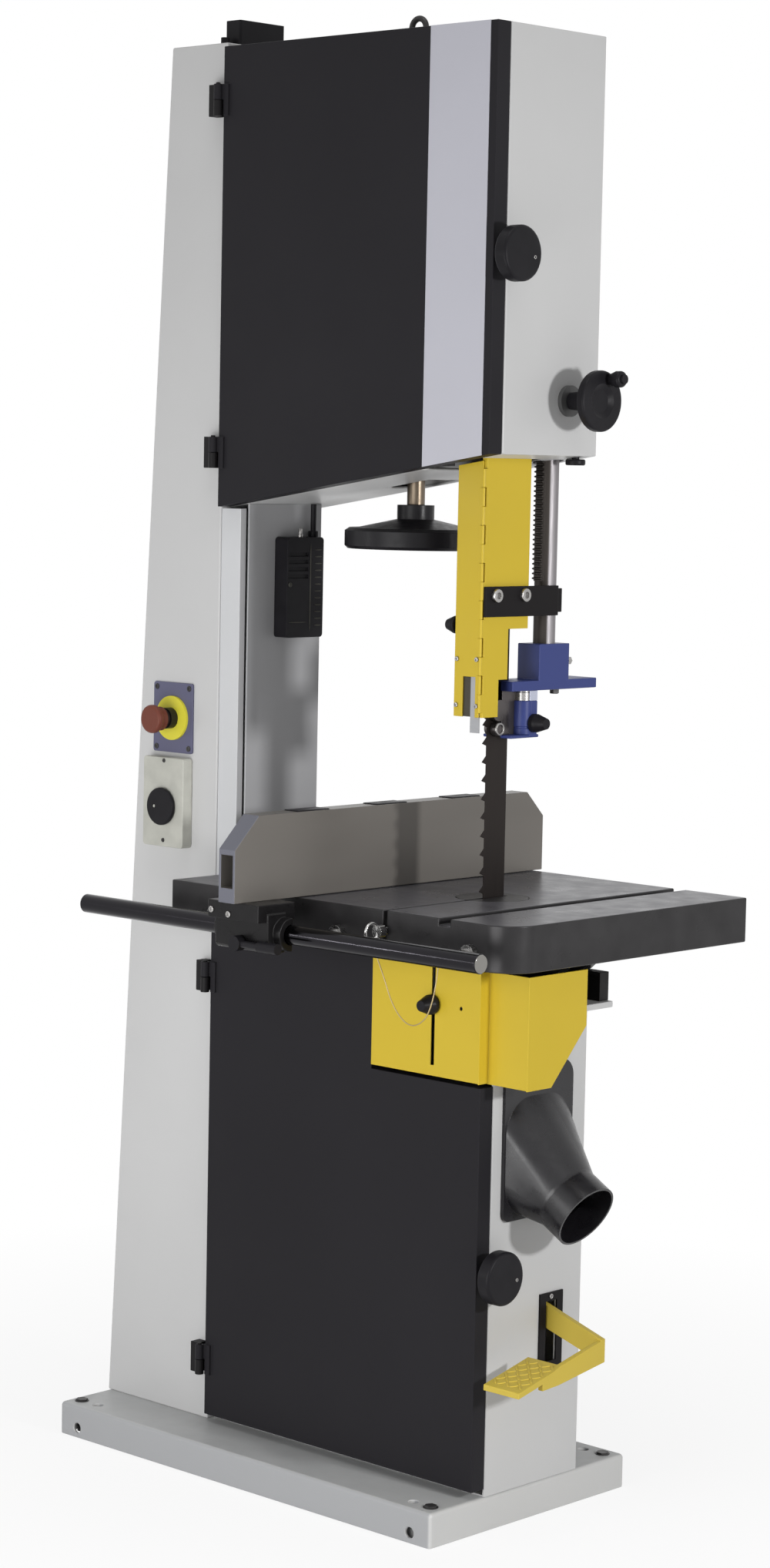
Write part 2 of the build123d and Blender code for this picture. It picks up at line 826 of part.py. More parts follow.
# Blade: the toothed cutting run and, behind the covers, the rest of the loop.
def blade_cutting_run():
    tip = blade_front - tooth_overhang
    gullet = tip + tooth_depth
    count = int(wheel_centres // tooth_pitch)
    pitch = wheel_centres / count
    points = [(blade_back, upper_wheel_z), (blade_back, lower_wheel_z), (gullet, lower_wheel_z)]
    for tooth in range(count):
        z = lower_wheel_z + pitch * tooth
        points.append((tip, z + 0.12 * pitch))
        points.append((gullet, z + 0.45 * pitch))
        if tooth < count - 1:
            points.append((gullet, z + pitch))
    points.append((gullet, upper_wheel_z))
    half = blade_thickness / 2
    return prism_yz(points, blade_x - half, blade_x + half)


def blade_return_loop():
    inner = wheel_r + tyre_gap
    outer = inner + blade_thickness
    start = blade_front - tooth_overhang + tooth_depth
    far = outer + 10

    def half_ring(z, low, high):
        ring = rod_y(wheel_x, start, blade_back, z, outer)
        ring -= rod_y(wheel_x, start - 1, blade_back + 1, z, inner)
        return ring & block(wheel_x - far, wheel_x + far, start - 2, blade_back + 2, low, high)

    loop = half_ring(upper_wheel_z, upper_wheel_z, upper_wheel_z + far)
    loop += half_ring(lower_wheel_z, lower_wheel_z - far, lower_wheel_z)
    left = wheel_x - outer
    return loop + block(left, wheel_x - inner, start, blade_back, lower_wheel_z, upper_wheel_z)


# Tension: the upper axle stands on a block between two slides on the back wall.
def upper_axle_block():
    z = upper_wheel_z
    half = axle_block_width / 2
    y0 = wheel_back + axle_block_gap
    low = z - axle_block_low
    body = block(wheel_x - half, wheel_x + half, y0, back - sheet - 14, low, z + axle_block_high)
    body += wheel_stub(z, y0 + 3)
    return body - rod_z(wheel_x, tension_screw_y, low - 1, z - 20, tension_screw_r + running_gap)


def tension_slides():
    inner = back - sheet
    z = upper_wheel_z
    slides = []
    for side in (-1, 1):
        x = wheel_x + side * slide_offset - slide_width / 2
        y0 = inner - slide_depth
        slides.append(block(x, x + slide_width, y0, inner, z - slide_low, z + slide_high))
    return slides


def tension_bearing():
    inner = back - sheet
    low = underside(wheel_x) + screw_bearing_rise
    high = low + screw_bearing_height
    half = screw_bearing_width / 2
    body = block(wheel_x - half, wheel_x + half, tension_screw_y - 20, inner, low, high)
    return body - rod_z(wheel_x, tension_screw_y, low - 1, high + 1, tension_screw_r + running_gap)


def tension_handwheel():
    y = tension_screw_y
    low = tension_rim_bottom
    high = low + tension_rim_height
    hub_top = high + tension_hub_height
    outer = tension_wheel_r
    inner = outer - tension_rim_width
    hub = tension_hub_r
    screw = rod_z(wheel_x, y, high, upper_wheel_z - 26, tension_screw_r)
    profile = [(0, low + 4), (hub - 5, low + 4), (inner - 4, low + 10), (inner, low)]
    profile += [(outer - 4, low), (outer, low + 4), (outer, high - 4), (outer - 6, high)]
    profile += [(inner + 4, high), (hub, high + 12), (hub, hub_top), (0, hub_top)]
    outline = Polyline(*[(r, 0, z) for r, z in profile], close=True)
    disc = revolve(make_face(outline), axis=Axis.Z)
    return screw + Pos(wheel_x, y, 0) * disc


def tracking_knob():
    z = upper_wheel_z
    y = back
    knob = rod_y(wheel_x, back - sheet - 14, y + 30, z, 7.9)
    knob += cone_y(wheel_x, y + 6, y + 26, z, 14.0, 20.0)
    head = rod_y(wheel_x, y + 26, y + 48, z, 32.0)
    return knob + fillet(head.edges().filter_by(GeomType.CIRCLE), 4.0)


# Guide post with its rack. The rack stands proud on the front of the post.
def guide_post():
    post = rod_z(post_x, post_y, post_bottom, post_top, post_r)
    pitch = 2 * math.pi * pinion_pitch_r / pinion_teeth
    pitch_y = pinion_y + pinion_pitch_r + mesh_backlash
    tip = pitch_y - 1.4
    root = pitch_y + 2.2
    rear = post_y - post_r + 6
    first = math.ceil((rack_bottom - pinion_z) / pitch)
    last = math.floor((rack_top - pinion_z) / pitch)
    points = [(rear, rack_top), (rear, rack_bottom), (root, rack_bottom)]
    for tooth in range(first, last):
        z = pinion_z + pitch * (tooth + 0.5)
        points += [(root, z - 0.28 * pitch), (tip, z - 0.12 * pitch)]
        points += [(tip, z + 0.12 * pitch), (root, z + 0.28 * pitch)]
    points.append((root, rack_top))
    return post + prism_yz(points, post_x - rack_half, post_x + rack_half)


def post_guide():
    inner = back - sheet
    low = underside(post_x) + post_guide_rise
    high = low + post_guide_height
    foot = post_guide_foot
    half = post_guide_width / 2
    body = block(post_x - half, post_x + half, post_y + post_r + 2, inner, low, high)
    for z in (low, high - foot):
        body += block(post_x - half, post_x + half, post_y - 20, inner, z, z + foot)
    body -= rod_z(post_x, post_y, low - 1, high + 1, post_r + running_gap)
    half = rack_half + mesh_backlash
    return body - block(post_x - half, post_x + half, post_y - 30, post_y, low - 1, high + 1)


def pinion_bush():
    face = upper_right
    bush = rod_x(face, face + 6, pinion_y, pinion_z, 20.0)
    bush += rod_x(face - 14, face, pinion_y, pinion_z, 11.9)
    return bush - rod_x(face - 15, face + 7, pinion_y, pinion_z, pinion_shaft_r + running_gap)


def post_handwheel():
    shaft = rod_x(post_x - 9, post_wheel_x, pinion_y, pinion_z, pinion_shaft_r)
    root = pinion_pitch_r - 2.4
    tip = pinion_pitch_r + 1.4
    shaft += rod_x(post_x - rack_half, post_x + rack_half, pinion_y, pinion_z, root)
    for tooth in range(pinion_teeth):
        outline = [(root - 1, -1.5), (tip, -0.7), (tip, 0.7), (root - 1, 1.5)]
        bar = prism_yz(outline, post_x - rack_half, post_x + rack_half)
        turn = 360 * tooth / pinion_teeth
        shaft += Pos(0, pinion_y, pinion_z) * Rot(turn, 0, 0) * bar
    half = post_wheel_thickness / 2
    disc = rod_x(post_wheel_x - half, post_wheel_x + half, pinion_y, pinion_z, post_wheel_r)
    disc = fillet(disc.edges().filter_by(GeomType.CIRCLE), 3.0)
    face = post_wheel_x + half
    disc -= cone_x(face - post_wheel_dish, face + 0.5, pinion_y, pinion_z, 15.0, 23.0)
    disc += cone_x(upper_right + 7, post_wheel_x - 5, pinion_y, pinion_z, 11.0, 15.0)
    cap_start = post_wheel_x + crank_grip_end + 0.5
    disc += rod_x(post_wheel_x, cap_start + 1, crank_y, crank_z, crank_pin_r)
    return shaft + disc + rod_x(cap_start, cap_start + 3, crank_y, crank_z, 6.0)


def crank_grip():
    end = post_wheel_x + crank_grip_end
    barrel = rod_x(end - 10.5, end, crank_y, crank_z, crank_grip_r)
    barrel = fillet(barrel.edges().filter_by(GeomType.CIRCLE).sort_by(Axis.X)[-1:], 4.0)
    grip = barrel + cone_x(post_wheel_x + 7, end - 10, crank_y, crank_z, 7.0, crank_grip_r)
    return grip - rod_x(post_wheel_x + 6, end + 1, crank_y, crank_z, crank_pin_r + running_gap)


def post_lock_knob():
    x = lock_knob_x
    y = lock_knob_y
    top = underside(x) - 2
    knob = rod_z(x, y, top - lock_knob_height, top, lock_knob_r)
    knob = fillet(knob.edges().filter_by(GeomType.CIRCLE), 2.5)
    return knob + rod_z(x, y, top - 2, top + 20, lock_stud_r)


# Bar that ties the guard to the post, with a clamp block behind it round the post.
def guard_bar():
    right = guard_right + bar_thickness
    bar = block(guard_right, right, guard_front_y, post_y + bar_back_reach, clamp_low, clamp_high)
    low_y = post_y - grip_half
    grip = block(post_x - 20, guard_right, low_y, post_y + grip_half, clamp_low + 4, clamp_high - 4)
    return bar + grip - rod_z(post_x, post_y, clamp_low - 1, clamp_high + 1, post_r)


# Upper guard: a fixed side plate and a front plate on a long knuckled hinge.
def guard_knuckles(first):
    low = guard_bottom + 6
    count = int((guard_front_top - low) // guard_knuckle)
    rings = []
    for index in range(first, count, 2):
        z = low + guard_knuckle * index
        rings.append((z + 0.3, z + guard_knuckle - 0.3))
    return rings


def guard_side():
    y0 = guard_front_y + 3.4
    y_low = blade_front + 2
    y_mid = blade_front + 19
    y_high = blade_back + 13
    outline = [(y0, guard_side_top), (y0, guard_bottom), (y_low, guard_bottom)]
    outline += [(y_low, guard_step_low), (y_mid, guard_step_low), (y_mid, guard_step_high)]
    outline += [(y_high, guard_step_high), (y_high, guard_side_top)]
    plate = prism_yz(outline, guard_right - guard_sheet, guard_right)
    lip_y = guard_front_y + guard_sheet + guard_lip_gap
    lip_z = guard_bottom + shield_height + 2
    lip_x = guard_hinge_x - guard_lip
    plate += block(lip_x, guard_right - 1, lip_y, lip_y + guard_sheet, lip_z, guard_side_top)
    lip_x = guard_hinge_x - 2.4
    plate += block(lip_x, guard_right - 1, lip_y, lip_y + guard_sheet, guard_bottom, lip_z)
    pin_low = guard_bottom + 6
    for low, high in guard_knuckles(0):
        plate += rod_z(guard_hinge_x, guard_hinge_y, low, high, guard_knuckle_r)
        plate += block(guard_right - 1.2, guard_right, guard_hinge_y, y0 + 1, low, high)
        pin_high = high
    return plate + rod_z(guard_hinge_x, guard_hinge_y, pin_low, pin_high, guard_pin_r)


def guard_front_plate():
    left = guard_left
    right = guard_hinge_x - 2.6
    y0 = guard_front_y
    y1 = guard_front_y + guard_sheet
    right_top = underside(right) - guard_top_gap
    outline = [(left, guard_bottom), (right, guard_bottom), (right, right_top), (left, guard_front_top)]
    plate = prism_xz(outline, y0, y1)
    plate += block(left, left + guard_sheet, y0, y0 + 15, guard_bottom, guard_front_top)
    window_top = guard_bottom + guard_window_height
    plate -= block(left + 15, right - 6, y0 - 1, y1 + 1, guard_bottom - 1, window_top)
    for low, high in guard_knuckles(1):
        ring = rod_z(guard_hinge_x, guard_hinge_y, low, high, guard_knuckle_r)
        ring += block(right - 1, guard_hinge_x, y0 - 2.6, y0 - 1.4, low, high)
        ring += block(right - 2, right, y0 - 2.6, y1, low, high)
        plate += ring - rod_z(guard_hinge_x, guard_hinge_y, low - 1, high + 1, guard_pin_r + running_gap)
    return plate - rod_x(left - 1, left + 3, y0 + 8, guard_knob_z, 3.0 + running_gap)


def guard_shield():
    right = guard_hinge_x - 3.0
    y0 = guard_front_y + guard_sheet
    y1 = y0 + 2.5
    left = guard_left + shield_inset
    high = guard_bottom + shield_height
    plate = block(left, right, y0, y1, guard_bottom - shield_drop, high)
    return plate + block(guard_left + 3, left, y0, y1, guard_bottom + 0.5, high)


def guard_knob():
    x = guard_left
    y = guard_front_y + 8
    knob = cone_x(x - 19, x - 7, y, guard_knob_z, 7.0, 11.5)
    knob += rod_x(x - 7, x - 2, y, guard_knob_z, 11.5)
    return knob + rod_x(x - 3, x + 12, y, guard_knob_z, 3.0)


# Blade guide below the post: bracket, forked plate, side guides and the thrust disc.
def guide_bracket():
    x0 = post_x - guide_block_width / 2
    x1 = post_x + guide_block_width / 2
    y0 = post_y - guide_block_offset
    body = block(x0, x1, y0, y0 + guide_block_depth, guide_block_bottom, guide_block_top)
    low = guide_block_bottom - guide_plate
    fork_front = blade_front + guide_fork_inset
    body += block(blade_x - 24, x1, fork_front, y0 + guide_plate_length, low, guide_block_bottom)
    body -= block(blade_x - 4, blade_x + 4, fork_front - 1, blade_back + 8, low - 1, guide_block_bottom + 1)
    return body - rod_z(post_x, post_y, post_bottom, guide_block_top + 1, post_r)


def guide_span(side, near, far):
    return sorted((blade_x + side * near, blade_x + side * far))


def guide_side_body(side):
    low = guide_block_bottom - guide_plate - guide_body_height
    high = guide_block_bottom - guide_plate - guide_cap_height
    x0, x1 = guide_span(side, guide_body_near, guide_body_far)
    y0 = blade_back + guide_body_front
    y1 = y0 + guide_body_depth
    body = block(x0, x1, y0, y1, low + guide_foot, high)
    return body + block(x0, x1, blade_front + guide_fork_inset, y1 + 4, low, low + guide_foot)


def guide_bodies():
    x = blade_x + guide_body_near + 7
    body = guide_side_body(1)
    body -= rod_x(x, blade_x + guide_body_far + 1, guide_knob_y, guide_knob_z, 4 + running_gap)
    return [body, guide_side_body(-1)]


# Pads beside the blade, each pair on a holder below the plate, with a polished cap
# between the plate and the body.
def guide_pads():
    holders = []
    gap = blade_thickness / 2 + 0.4
    pad_y = blade_mid_y - 4
    high = guide_block_bottom - guide_plate
    low = high - guide_body_height + guide_foot
    y0 = blade_back + guide_body_front
    for side in (-1, 1):
        x0, x1 = guide_span(side, guide_body_near, guide_holder_far)
        holder = block(x0, x1, blade_front + guide_fork_inset, y0, low, high)
        x0, x1 = guide_span(side, guide_body_near, guide_body_far)
        holder += block(x0, x1, y0, y0 + guide_body_depth, high - guide_cap_height, high)
        x0, x1 = guide_span(side, gap, guide_pad_reach)
        for drop, radius in zip(guide_pad_drops, guide_pad_radii):
            holder += rod_x(x0, x1, pad_y, guide_block_bottom - drop, radius)
        holders.append(holder)
    return holders


def thrust_disc():
    y = blade_back + 0.6
    z = guide_block_bottom - 40
    disc = rod_y(blade_x, y, y + 8, z, 4.6)
    disc += rod_y(blade_x, y + 8, y + 20, z, 3.5)
    high = guide_block_bottom - guide_plate
    return disc + block(blade_x - 5, blade_x + 5, y + 9, y + 20, z - 6, high)


def guide_knob():
    x = blade_x + guide_body_far
    y = guide_knob_y
    z = guide_knob_z
    knob = rod_x(x + 1, x + 7, y, z, guide_knob_r)
    knob += cone_x(x + 7, x + 23, y, z, guide_knob_r, 7.0)
    return knob + rod_x(x - 11, x + 2, y, z, 4.0)


# Tilt shelf, saddles and the half-moon segments that hang from the table.
def tilt_shelf():
    y0 = blade_front - shelf_front
    plate = block(blade_x - shelf_left, blade_x + shelf_right, y0, back, shelf_seat, shelf_top)
    slot = block(blade_x - 8, blade_x + 8, y0 - 1, blade_back + 8, shelf_seat - 1, shelf_top + 1)
    return plate - slot


def tilt_saddles():
    saddles = []
    for y in segment_y:
        high = shelf_top + saddle_height
        x0 = blade_x - saddle_left
        body = block(x0, blade_x + saddle_right, y, y + trunnion_width, shelf_top, high)
        cut = rod_y(blade_x, y - 1, y + trunnion_width + 1, table_height, trunnion_r + trunnion_gap)
        saddles.append(body - cut)
    return saddles


def tilt_segments():
    segments = []
    roof = table_height - table_plate
    for y in segment_y:
        disc = rod_y(blade_x, y, y + trunnion_width, table_height, trunnion_r)
        half = trunnion_r - 6
        disc &= block(blade_x - half, blade_x + half, y, y + trunnion_width, shelf_seat, roof)
        inner = trunnion_r - trunnion_depth
        segments.append(disc - rod_y(blade_x, y - 1, y + trunnion_width + 1, table_height, inner))
    return segments


# Table: a ribbed casting with a round seat for the insert, a mitre slot, a slit for
# passing the blade and a hole across the slit for the levelling pin.
def table():
    body = block(table_left, table_right, table_front, table_back, table_bottom, table_height)
    corner = body.edges().filter_by(Axis.Z).sort_by(Axis.X)[-2:].sort_by(Axis.Y)[0]
    body = fillet(corner, table_corner)
    x0 = table_left + table_skirt
    x1 = table_right - table_skirt
    y0 = table_front + table_skirt
    y1 = table_back - table_skirt
    pocket = block(x0, x1, y0, y1, table_bottom - 1, table_height - table_plate)
    corner = pocket.edges().filter_by(Axis.Z).sort_by(Axis.X)[-2:].sort_by(Axis.Y)[0]
    pocket = fillet(corner, table_corner - table_skirt)
    body -= pocket
    rib_x = blade_x - rib_offset
    half = rib_thickness / 2
    rib_low = table_bottom + rib_lift
    roof = table_height - table_plate
    body += block(rib_x - half, rib_x + half, y0, y1, rib_low, roof)
    for rib_y in (segment_y[0] - 90, segment_y[1] + 60):
        body += block(x0, rib_x, rib_y - half, rib_y + half, rib_low, roof)
    boss_r = insert_r + insert_ledge
    boss = rod_z(blade_x, blade_mid_y, roof - 6, roof, boss_r)
    boss_y = segment_y[0] - 2
    body += boss & block(blade_x - boss_r, blade_x + boss_r, blade_mid_y - boss_r, boss_y, roof - 6, roof)
    left = blade_x + mitre_offset - mitre_width / 2
    slot_z = table_height - mitre_depth
    above = table_height + 1
    body -= block(left, left + mitre_width, table_front - 1, table_back + 1, slot_z, above)
    body -= rod_z(blade_x, blade_mid_y, table_height - insert_thickness, above, insert_r)
    body -= rod_z(blade_x, blade_mid_y, table_bottom, table_height, insert_r - insert_ledge)
    half = slit_width / 2
    body -= block(blade_x - half, blade_x + half, table_front - 1, blade_mid_y, table_bottom - 1, above)
    return body - rod_y(blade_x, table_front - 1, table_front + pin_length, pin_z, pin_r)


def table_insert():
    z = table_height - insert_thickness
    disc = rod_z(blade_x, blade_mid_y, z, table_height, insert_r - 0.2)
    slot_front = blade_mid_y - insert_r - 1
    half = slit_width / 2 + 0.5
    return disc - block(blade_x - half, blade_x + half, slot_front, blade_back + 5, z - 1, table_height + 1)


def table_pin():
    y = table_front
    pin = rod_y(blade_x, y - 12, y + pin_length, pin_z, pin_r)
    pin += rod_y(blade_x, y - 15, y - 4, pin_z, 8.0)
    ring = Torus(pin_ring_r, pin_ring_wire_r)
    ring = Pos(blade_x, y - pin_ring_stand, pin_z) * Rot(0, 90, 0) * ring
    return pin + ring


# Rail and fence
def fence_rail():
    rail = rod_x(rail_left, rail_right, rail_y, rail_z, rail_r)
    return chamfer(rail.edges().filter_by(GeomType.CIRCLE), 1.5)


def rail_studs():
    studs = []
    for x in stud_x:
        stud = rod_y(x, rail_y + rail_r - 0.5, table_front, rail_z, stud_r)
        stud -= rod_x(x - 10, x + 10, rail_y, rail_z, rail_r)
        stud += rod_y(x, table_front - 9, table_front, rail_z, stud_r + 5)
        studs.append(stud)
    return studs


def fence():
    outline = [(fence_front, fence_bottom), (fence_back, fence_bottom)]
    cut = fence_back_chamfer
    outline += [(fence_back, fence_top - cut), (fence_back - cut, fence_top)]
    cut = fence_front_chamfer
    outline += [(fence_front + cut, fence_top), (fence_front, fence_top - cut)]
    body = prism_yz(outline, fence_left, fence_right)
    x0 = fence_left + fence_wall
    x1 = fence_right - fence_wall
    low = fence_bottom + fence_hollow_rise
    return body - block(x0, x1, fence_front - 1, fence_back + 1, low, low + fence_hollow_height)


def fence_carriage():
    x0 = carriage_mid - carriage_width / 2
    x1 = carriage_mid + carriage_width / 2
    jaw_top = rail_z + rail_r + 14
    ring = carriage_collar
    body = block(x0 + ring, x1 - ring, rail_y - 30, rail_y + 2, rail_z - 24, jaw_top)
    body = fillet(body.edges().filter_by(Axis.X).group_by(Axis.Z)[0].sort_by(Axis.Y)[0], carriage_round)
    shelf_y = table_front - carriage_gap
    body += block(x0 + 14, x1 - 14, rail_y - 46, shelf_y, rail_z + rail_r + 4, fence_bottom)
    body = body - rod_x(x0 - 1, x1 + 1, rail_y, rail_z, rail_r + 0.3)
    body -= block(x0 - 1, x1 + 1, rail_y, rail_y + 20, rail_z - 30, rail_z)
    for x in (x0, x1 - ring - 1):
        collar = rod_x(x, x + ring + 1, rail_y, rail_z, rail_r + 9)
        collar -= rod_x(x - 1, x + ring + 2, rail_y, rail_z, rail_r + 0.3)
        body += collar & block(x, x + ring + 1, rail_y - 40, rail_y + 2, rail_z - 40, rail_z + 40)
    return body - rod_y(carriage_mid, rail_y - 40, rail_y - 16, lever_z, lever_r + running_gap)


def fence_lever():
    y = rail_y - 30
    lever = rod_y(carriage_mid, y - 10, y + 12, lever_z, lever_r)
    lever += rod_y(carriage_mid, y - 14, y - 2, lever_z, 10.0)
    lever += rod_x(carriage_mid, carriage_mid + 62, y - 8, lever_z, 4.5)
    return lever + rod_x(carriage_mid + 40, carriage_mid + 74, y - 8, lever_z, 7.0)


# Lower guard: front plate with the blade slot, a jog, and a box round the right side.
def lower_guard():
    t = lower_guard_sheet
    low = lower_guard_bottom
    high = lower_guard_top
    y0 = lower_guard_y
    jog = lower_right + 1.0
    y1 = y0 + lower_guard_jog
    body = block(lower_guard_left, jog + t, y0, y0 + t, low, high)
    body += block(jog, jog + t, y0, y1, low - 1, high)
    body += block(jog, lower_guard_right, y1 - t, y1, low - 2, high)
    rear = blade_back + 8
    side = [(y1 - t, low - 3), (rear - 67, low - 3), (rear, low + 70), (rear, high), (y1 - t, high)]
    body += prism_yz(side, lower_guard_right - t, lower_guard_right)
    body += block(lower_right, lower_guard_right, rear - t, rear, low + 70, shelf_seat)
    slot_x = lower_slot_x
    body -= block(slot_x - 3, slot_x + 3, y0 - 1, y0 + t + 1, low + 14, high + 1)
    body -= rod_y(slot_x + 48, y0 - 1, y0 + t + 1, lower_guard_knob_z, 2.5)
    nut_z = lower_guard_knob_z
    nut = block(slot_x - 22, slot_x + 22, y0 + t, y0 + t + 5, nut_z - 12, nut_z + 12)
    return body + (nut - rod_y(slot_x, y0, y0 + 10, lower_guard_knob_z, 2.9 + running_gap))


def lower_guard_knob():
    x = lower_slot_x
    y = lower_guard_y
    knob = rod_y(x, y - 8, y - 2.5, lower_guard_knob_z, 13.0)
    knob += cone_y(x, y - 24, y - 8, lower_guard_knob_z, 7.0, 13.0)
    return knob + rod_y(x, y - 4, y + 7, lower_guard_knob_z, 2.9)


def lower_guides():
    parts = []
    for side in (-1, 1):
        near = blade_x + side * (blade_thickness / 2 + 0.4)
        far = blade_x + side * 34
        x0 = min(near, far)
        x1 = max(near, far)
        body = block(x0, x1, blade_mid_y - 14, blade_mid_y + 12, shelf_top + 20, shelf_top + 40)
        foot_in = blade_x + side * 10
        x0 = min(foot_in, far)
        x1 = max(foot_in, far)
        body += block(x0, x1, blade_mid_y - 14, blade_mid_y + 12, shelf_top, shelf_top + 20)
        parts.append(body)
    return parts


# Dust port: flanged hood that narrows to a round mouth turned down and outward.
def port_plane(step):
    x = port_mouth[0] + port_axis[0] * step
    y = port_mouth[1]
    z = port_mouth[2] + port_axis[2] * step
    return Plane(origin=(x, y, z), x_dir=(0, 1, 0), z_dir=port_axis)


def port_hood(shrink):
    wall_x = port_x + port_flange - 1 - shrink * 2
    middle = (wall_x, port_mid_y, port_z - port_hood_drop)
    wall = Plane(origin=middle, x_dir=(0, 1, 0), z_dir=(1, 0, 0))
    start = wall * RectangleRounded(port_width - 2 * shrink, port_height - 2 * shrink, port_corner - shrink)
    end = port_plane(-port_neck) * Circle(port_r - shrink)
    return loft([start, end])


def dust_port():
    half_w = port_flange_width / 2
    half_h = port_flange_height / 2
    flange = block(port_x, port_x + port_flange, -half_w, half_w, port_z - half_h, port_z + half_h)
    flange = fillet(flange.edges().filter_by(Axis.X).sort_by(Axis.Z)[2:], port_flange_top_corner)
    flange = fillet(flange.edges().filter_by(Axis.X).sort_by(Axis.Z)[:2], port_flange_low_corner)
    neck = port_plane(-port_neck) * extrude(Circle(port_r), amount=port_neck)
    bore = port_plane(-port_neck - 1) * extrude(Circle(port_r - port_wall), amount=port_neck + 4)
    hood = port_hood(0) + neck
    seat = port_plane(-port_neck)
    steps = (0.0, 0.5, 1.0)
    ring = [e for e in hood.edges() if all(abs(seat.to_local_coords(e @ t).Z) < 0.01 for t in steps)]
    hood = fillet(ring, port_neck_bend)
    return (Pos(0, port_mid_y, 0) * flange + hood) - port_hood(port_wall) - bore


# Foot brake: slot plate, pivot pin and the bent pedal arm with its tread.
def pedal_slot_plate():
    x = lower_right
    place = Pos(x + pedal_plate / 2, pedal_y + 4, pedal_plate_z)
    plate = place * Box(pedal_plate, pedal_plate_width, pedal_plate_height)
    slot = Box(pedal_plate + 2, pedal_slot_width, pedal_slot_height)
    return plate - place * Pos(0, 0, -1.5) * slot


def pedal_pivot():
    inner = back - sheet
    pin = rod_y(pedal_pivot_x, pedal_y - 10, inner, pedal_pivot_z, pedal_pivot_r)
    pin += rod_y(pedal_pivot_x, pedal_y + 9, inner, pedal_pivot_z, 2 * pedal_pivot_r)
    return pin


def brake_pedal():
    t = pedal_bar / 2
    reach = lower_right + pedal_reach
    half = pedal_bar_height / 2
    arm = [(pedal_pivot_x, pedal_pivot_z + half), (pedal_pivot_x, pedal_pivot_z - half)]
    arm += [(reach, pedal_tip_z - half), (reach, pedal_tip_z + half)]
    body = prism_xz(arm, pedal_y - t, pedal_y + t)
    body += rod_y(pedal_pivot_x, pedal_y - 2 * t, pedal_y + 2 * t, pedal_pivot_z, pedal_boss_r)
    inner_y = pedal_y + t - 83
    outer_y = inner_y - pedal_tread_length
    high = pedal_tread_z
    low = high - pedal_tread
    side = [(pedal_y + t, pedal_tip_z + half), (pedal_y + t, pedal_tip_z - half)]
    tail_y = inner_y - 8 - pedal_tail
    side += [(inner_y - 8, low - 16), (tail_y, low - 18), (tail_y, low - 5), (inner_y - 8, high)]
    body += prism_yz(side, reach - pedal_tread, reach)
    fall = pedal_tread_fall
    tread = [(inner_y, high), (inner_y, low), (outer_y, low - fall), (outer_y, high - fall)]
    body += prism_yz(tread, reach - pedal_tread_width, reach)
    hole = rod_y(pedal_pivot_x, pedal_y - 20, pedal_y + 20, pedal_pivot_z, pedal_pivot_r + running_gap)
    return body - hole


# Small fittings
def eye_bolt():
    x = wheel_x + 15
    y = 10.0
    z = cabinet_top
    body = rod_z(x, y, z, z + 4, 13.0) + rod_z(x, y, z + 3, z + 14, 6.0)
    return body + Pos(x, y, z + 20) * Rot(90, 0, 0) * Torus(12.5, 4.0)


def limit_switch_box():
    x = column_left_top + limit_box_inset
    z = column_top
    body = block(x, x + limit_box_width, -40, limit_box_depth - 40, z, z + limit_box_height)
    body = fillet(upright_edges(body), 3.0)
    return body + rod_z(x + 10, -50, z, z + 16, 6.0) + block(x + 6, x + 14, -50, -38, z, z + 10)


def estop_plate():
    y = column_front
    half = estop_plate_width / 2
    low = estop_z - estop_plate_height / 2 + 0.5
    high = low + estop_plate_height
    plate = block(estop_x - half, estop_x + half, y - estop_plate_thickness, y, low, high)
    plate = fillet(plate.edges().filter_by(Axis.Y), 4.0)
    return plate - rod_y(estop_x, y - estop_plate_thickness - 1, y + 1, estop_z, estop_stem_r + 3.5)


def estop_ring():
    y = column_front - estop_plate_thickness
    ring = rod_y(estop_x, y - 4, y, estop_z, estop_ring_r)
    ring += rod_y(estop_x, y - 16, y, estop_z, estop_collar_r)
    return ring - rod_y(estop_x, y - 17, y + 1, estop_z, estop_stem_r + running_gap)


def estop_button():
    y = column_front - estop_plate_thickness
    stem = rod_y(estop_x, y - 30, y - 8, estop_z, estop_stem_r)
    neck = rod_y(estop_x, y - 38, y - 24, estop_z, estop_neck_r)
    head = rod_y(estop_x, y - 44, y - 33, estop_z, estop_head_r)
    return stem + neck + fillet(head.edges().filter_by(GeomType.CIRCLE), 4.0)


def switch_box():
    y = column_front
    face = y - switch_depth
    box = Pos(switch_x, (y + face) / 2, switch_z) * Box(switch_width, switch_depth, switch_height)
    box = fillet(box.edges().filter_by(Axis.Y), 5.0)
    return box - rod_y(switch_x, face - 1, face + 12, switch_knob_z, switch_stem_r + running_gap)


def switch_knob():
    y = column_front - switch_depth
    z = switch_knob_z
    face = y - 1 - switch_knob_thickness
    knob = rod_y(switch_x, face, y - 1, z, switch_knob_r)
    knob = fillet(knob.edges().filter_by(GeomType.CIRCLE), 2.0)
    knob -= rod_y(switch_x - switch_mark_offset, face - 1, face + 1, z, 2.5)
    return knob + rod_y(switch_x, y - 2, y + 11, z, switch_stem_r)


def louvre_box():
    x = channel_right
    high = louvre_box_top
    low = high - louvre_box_height
    outer = x + louvre_box_depth
    y0 = louvre_box_front
    y1 = y0 + louvre_box_width
    box = block(x, outer, y0, y1, low, high)
    box = fillet(box.edges().filter_by(Axis.X), 5.0)
    for row in range(louvre_rows):
        z = high - 26 - louvre_pitch * row
        box -= block(outer - 3, outer + 1, y0 + 3, y0 + 3 + louvre_length, z, z + louvre_pitch / 2)
    return box


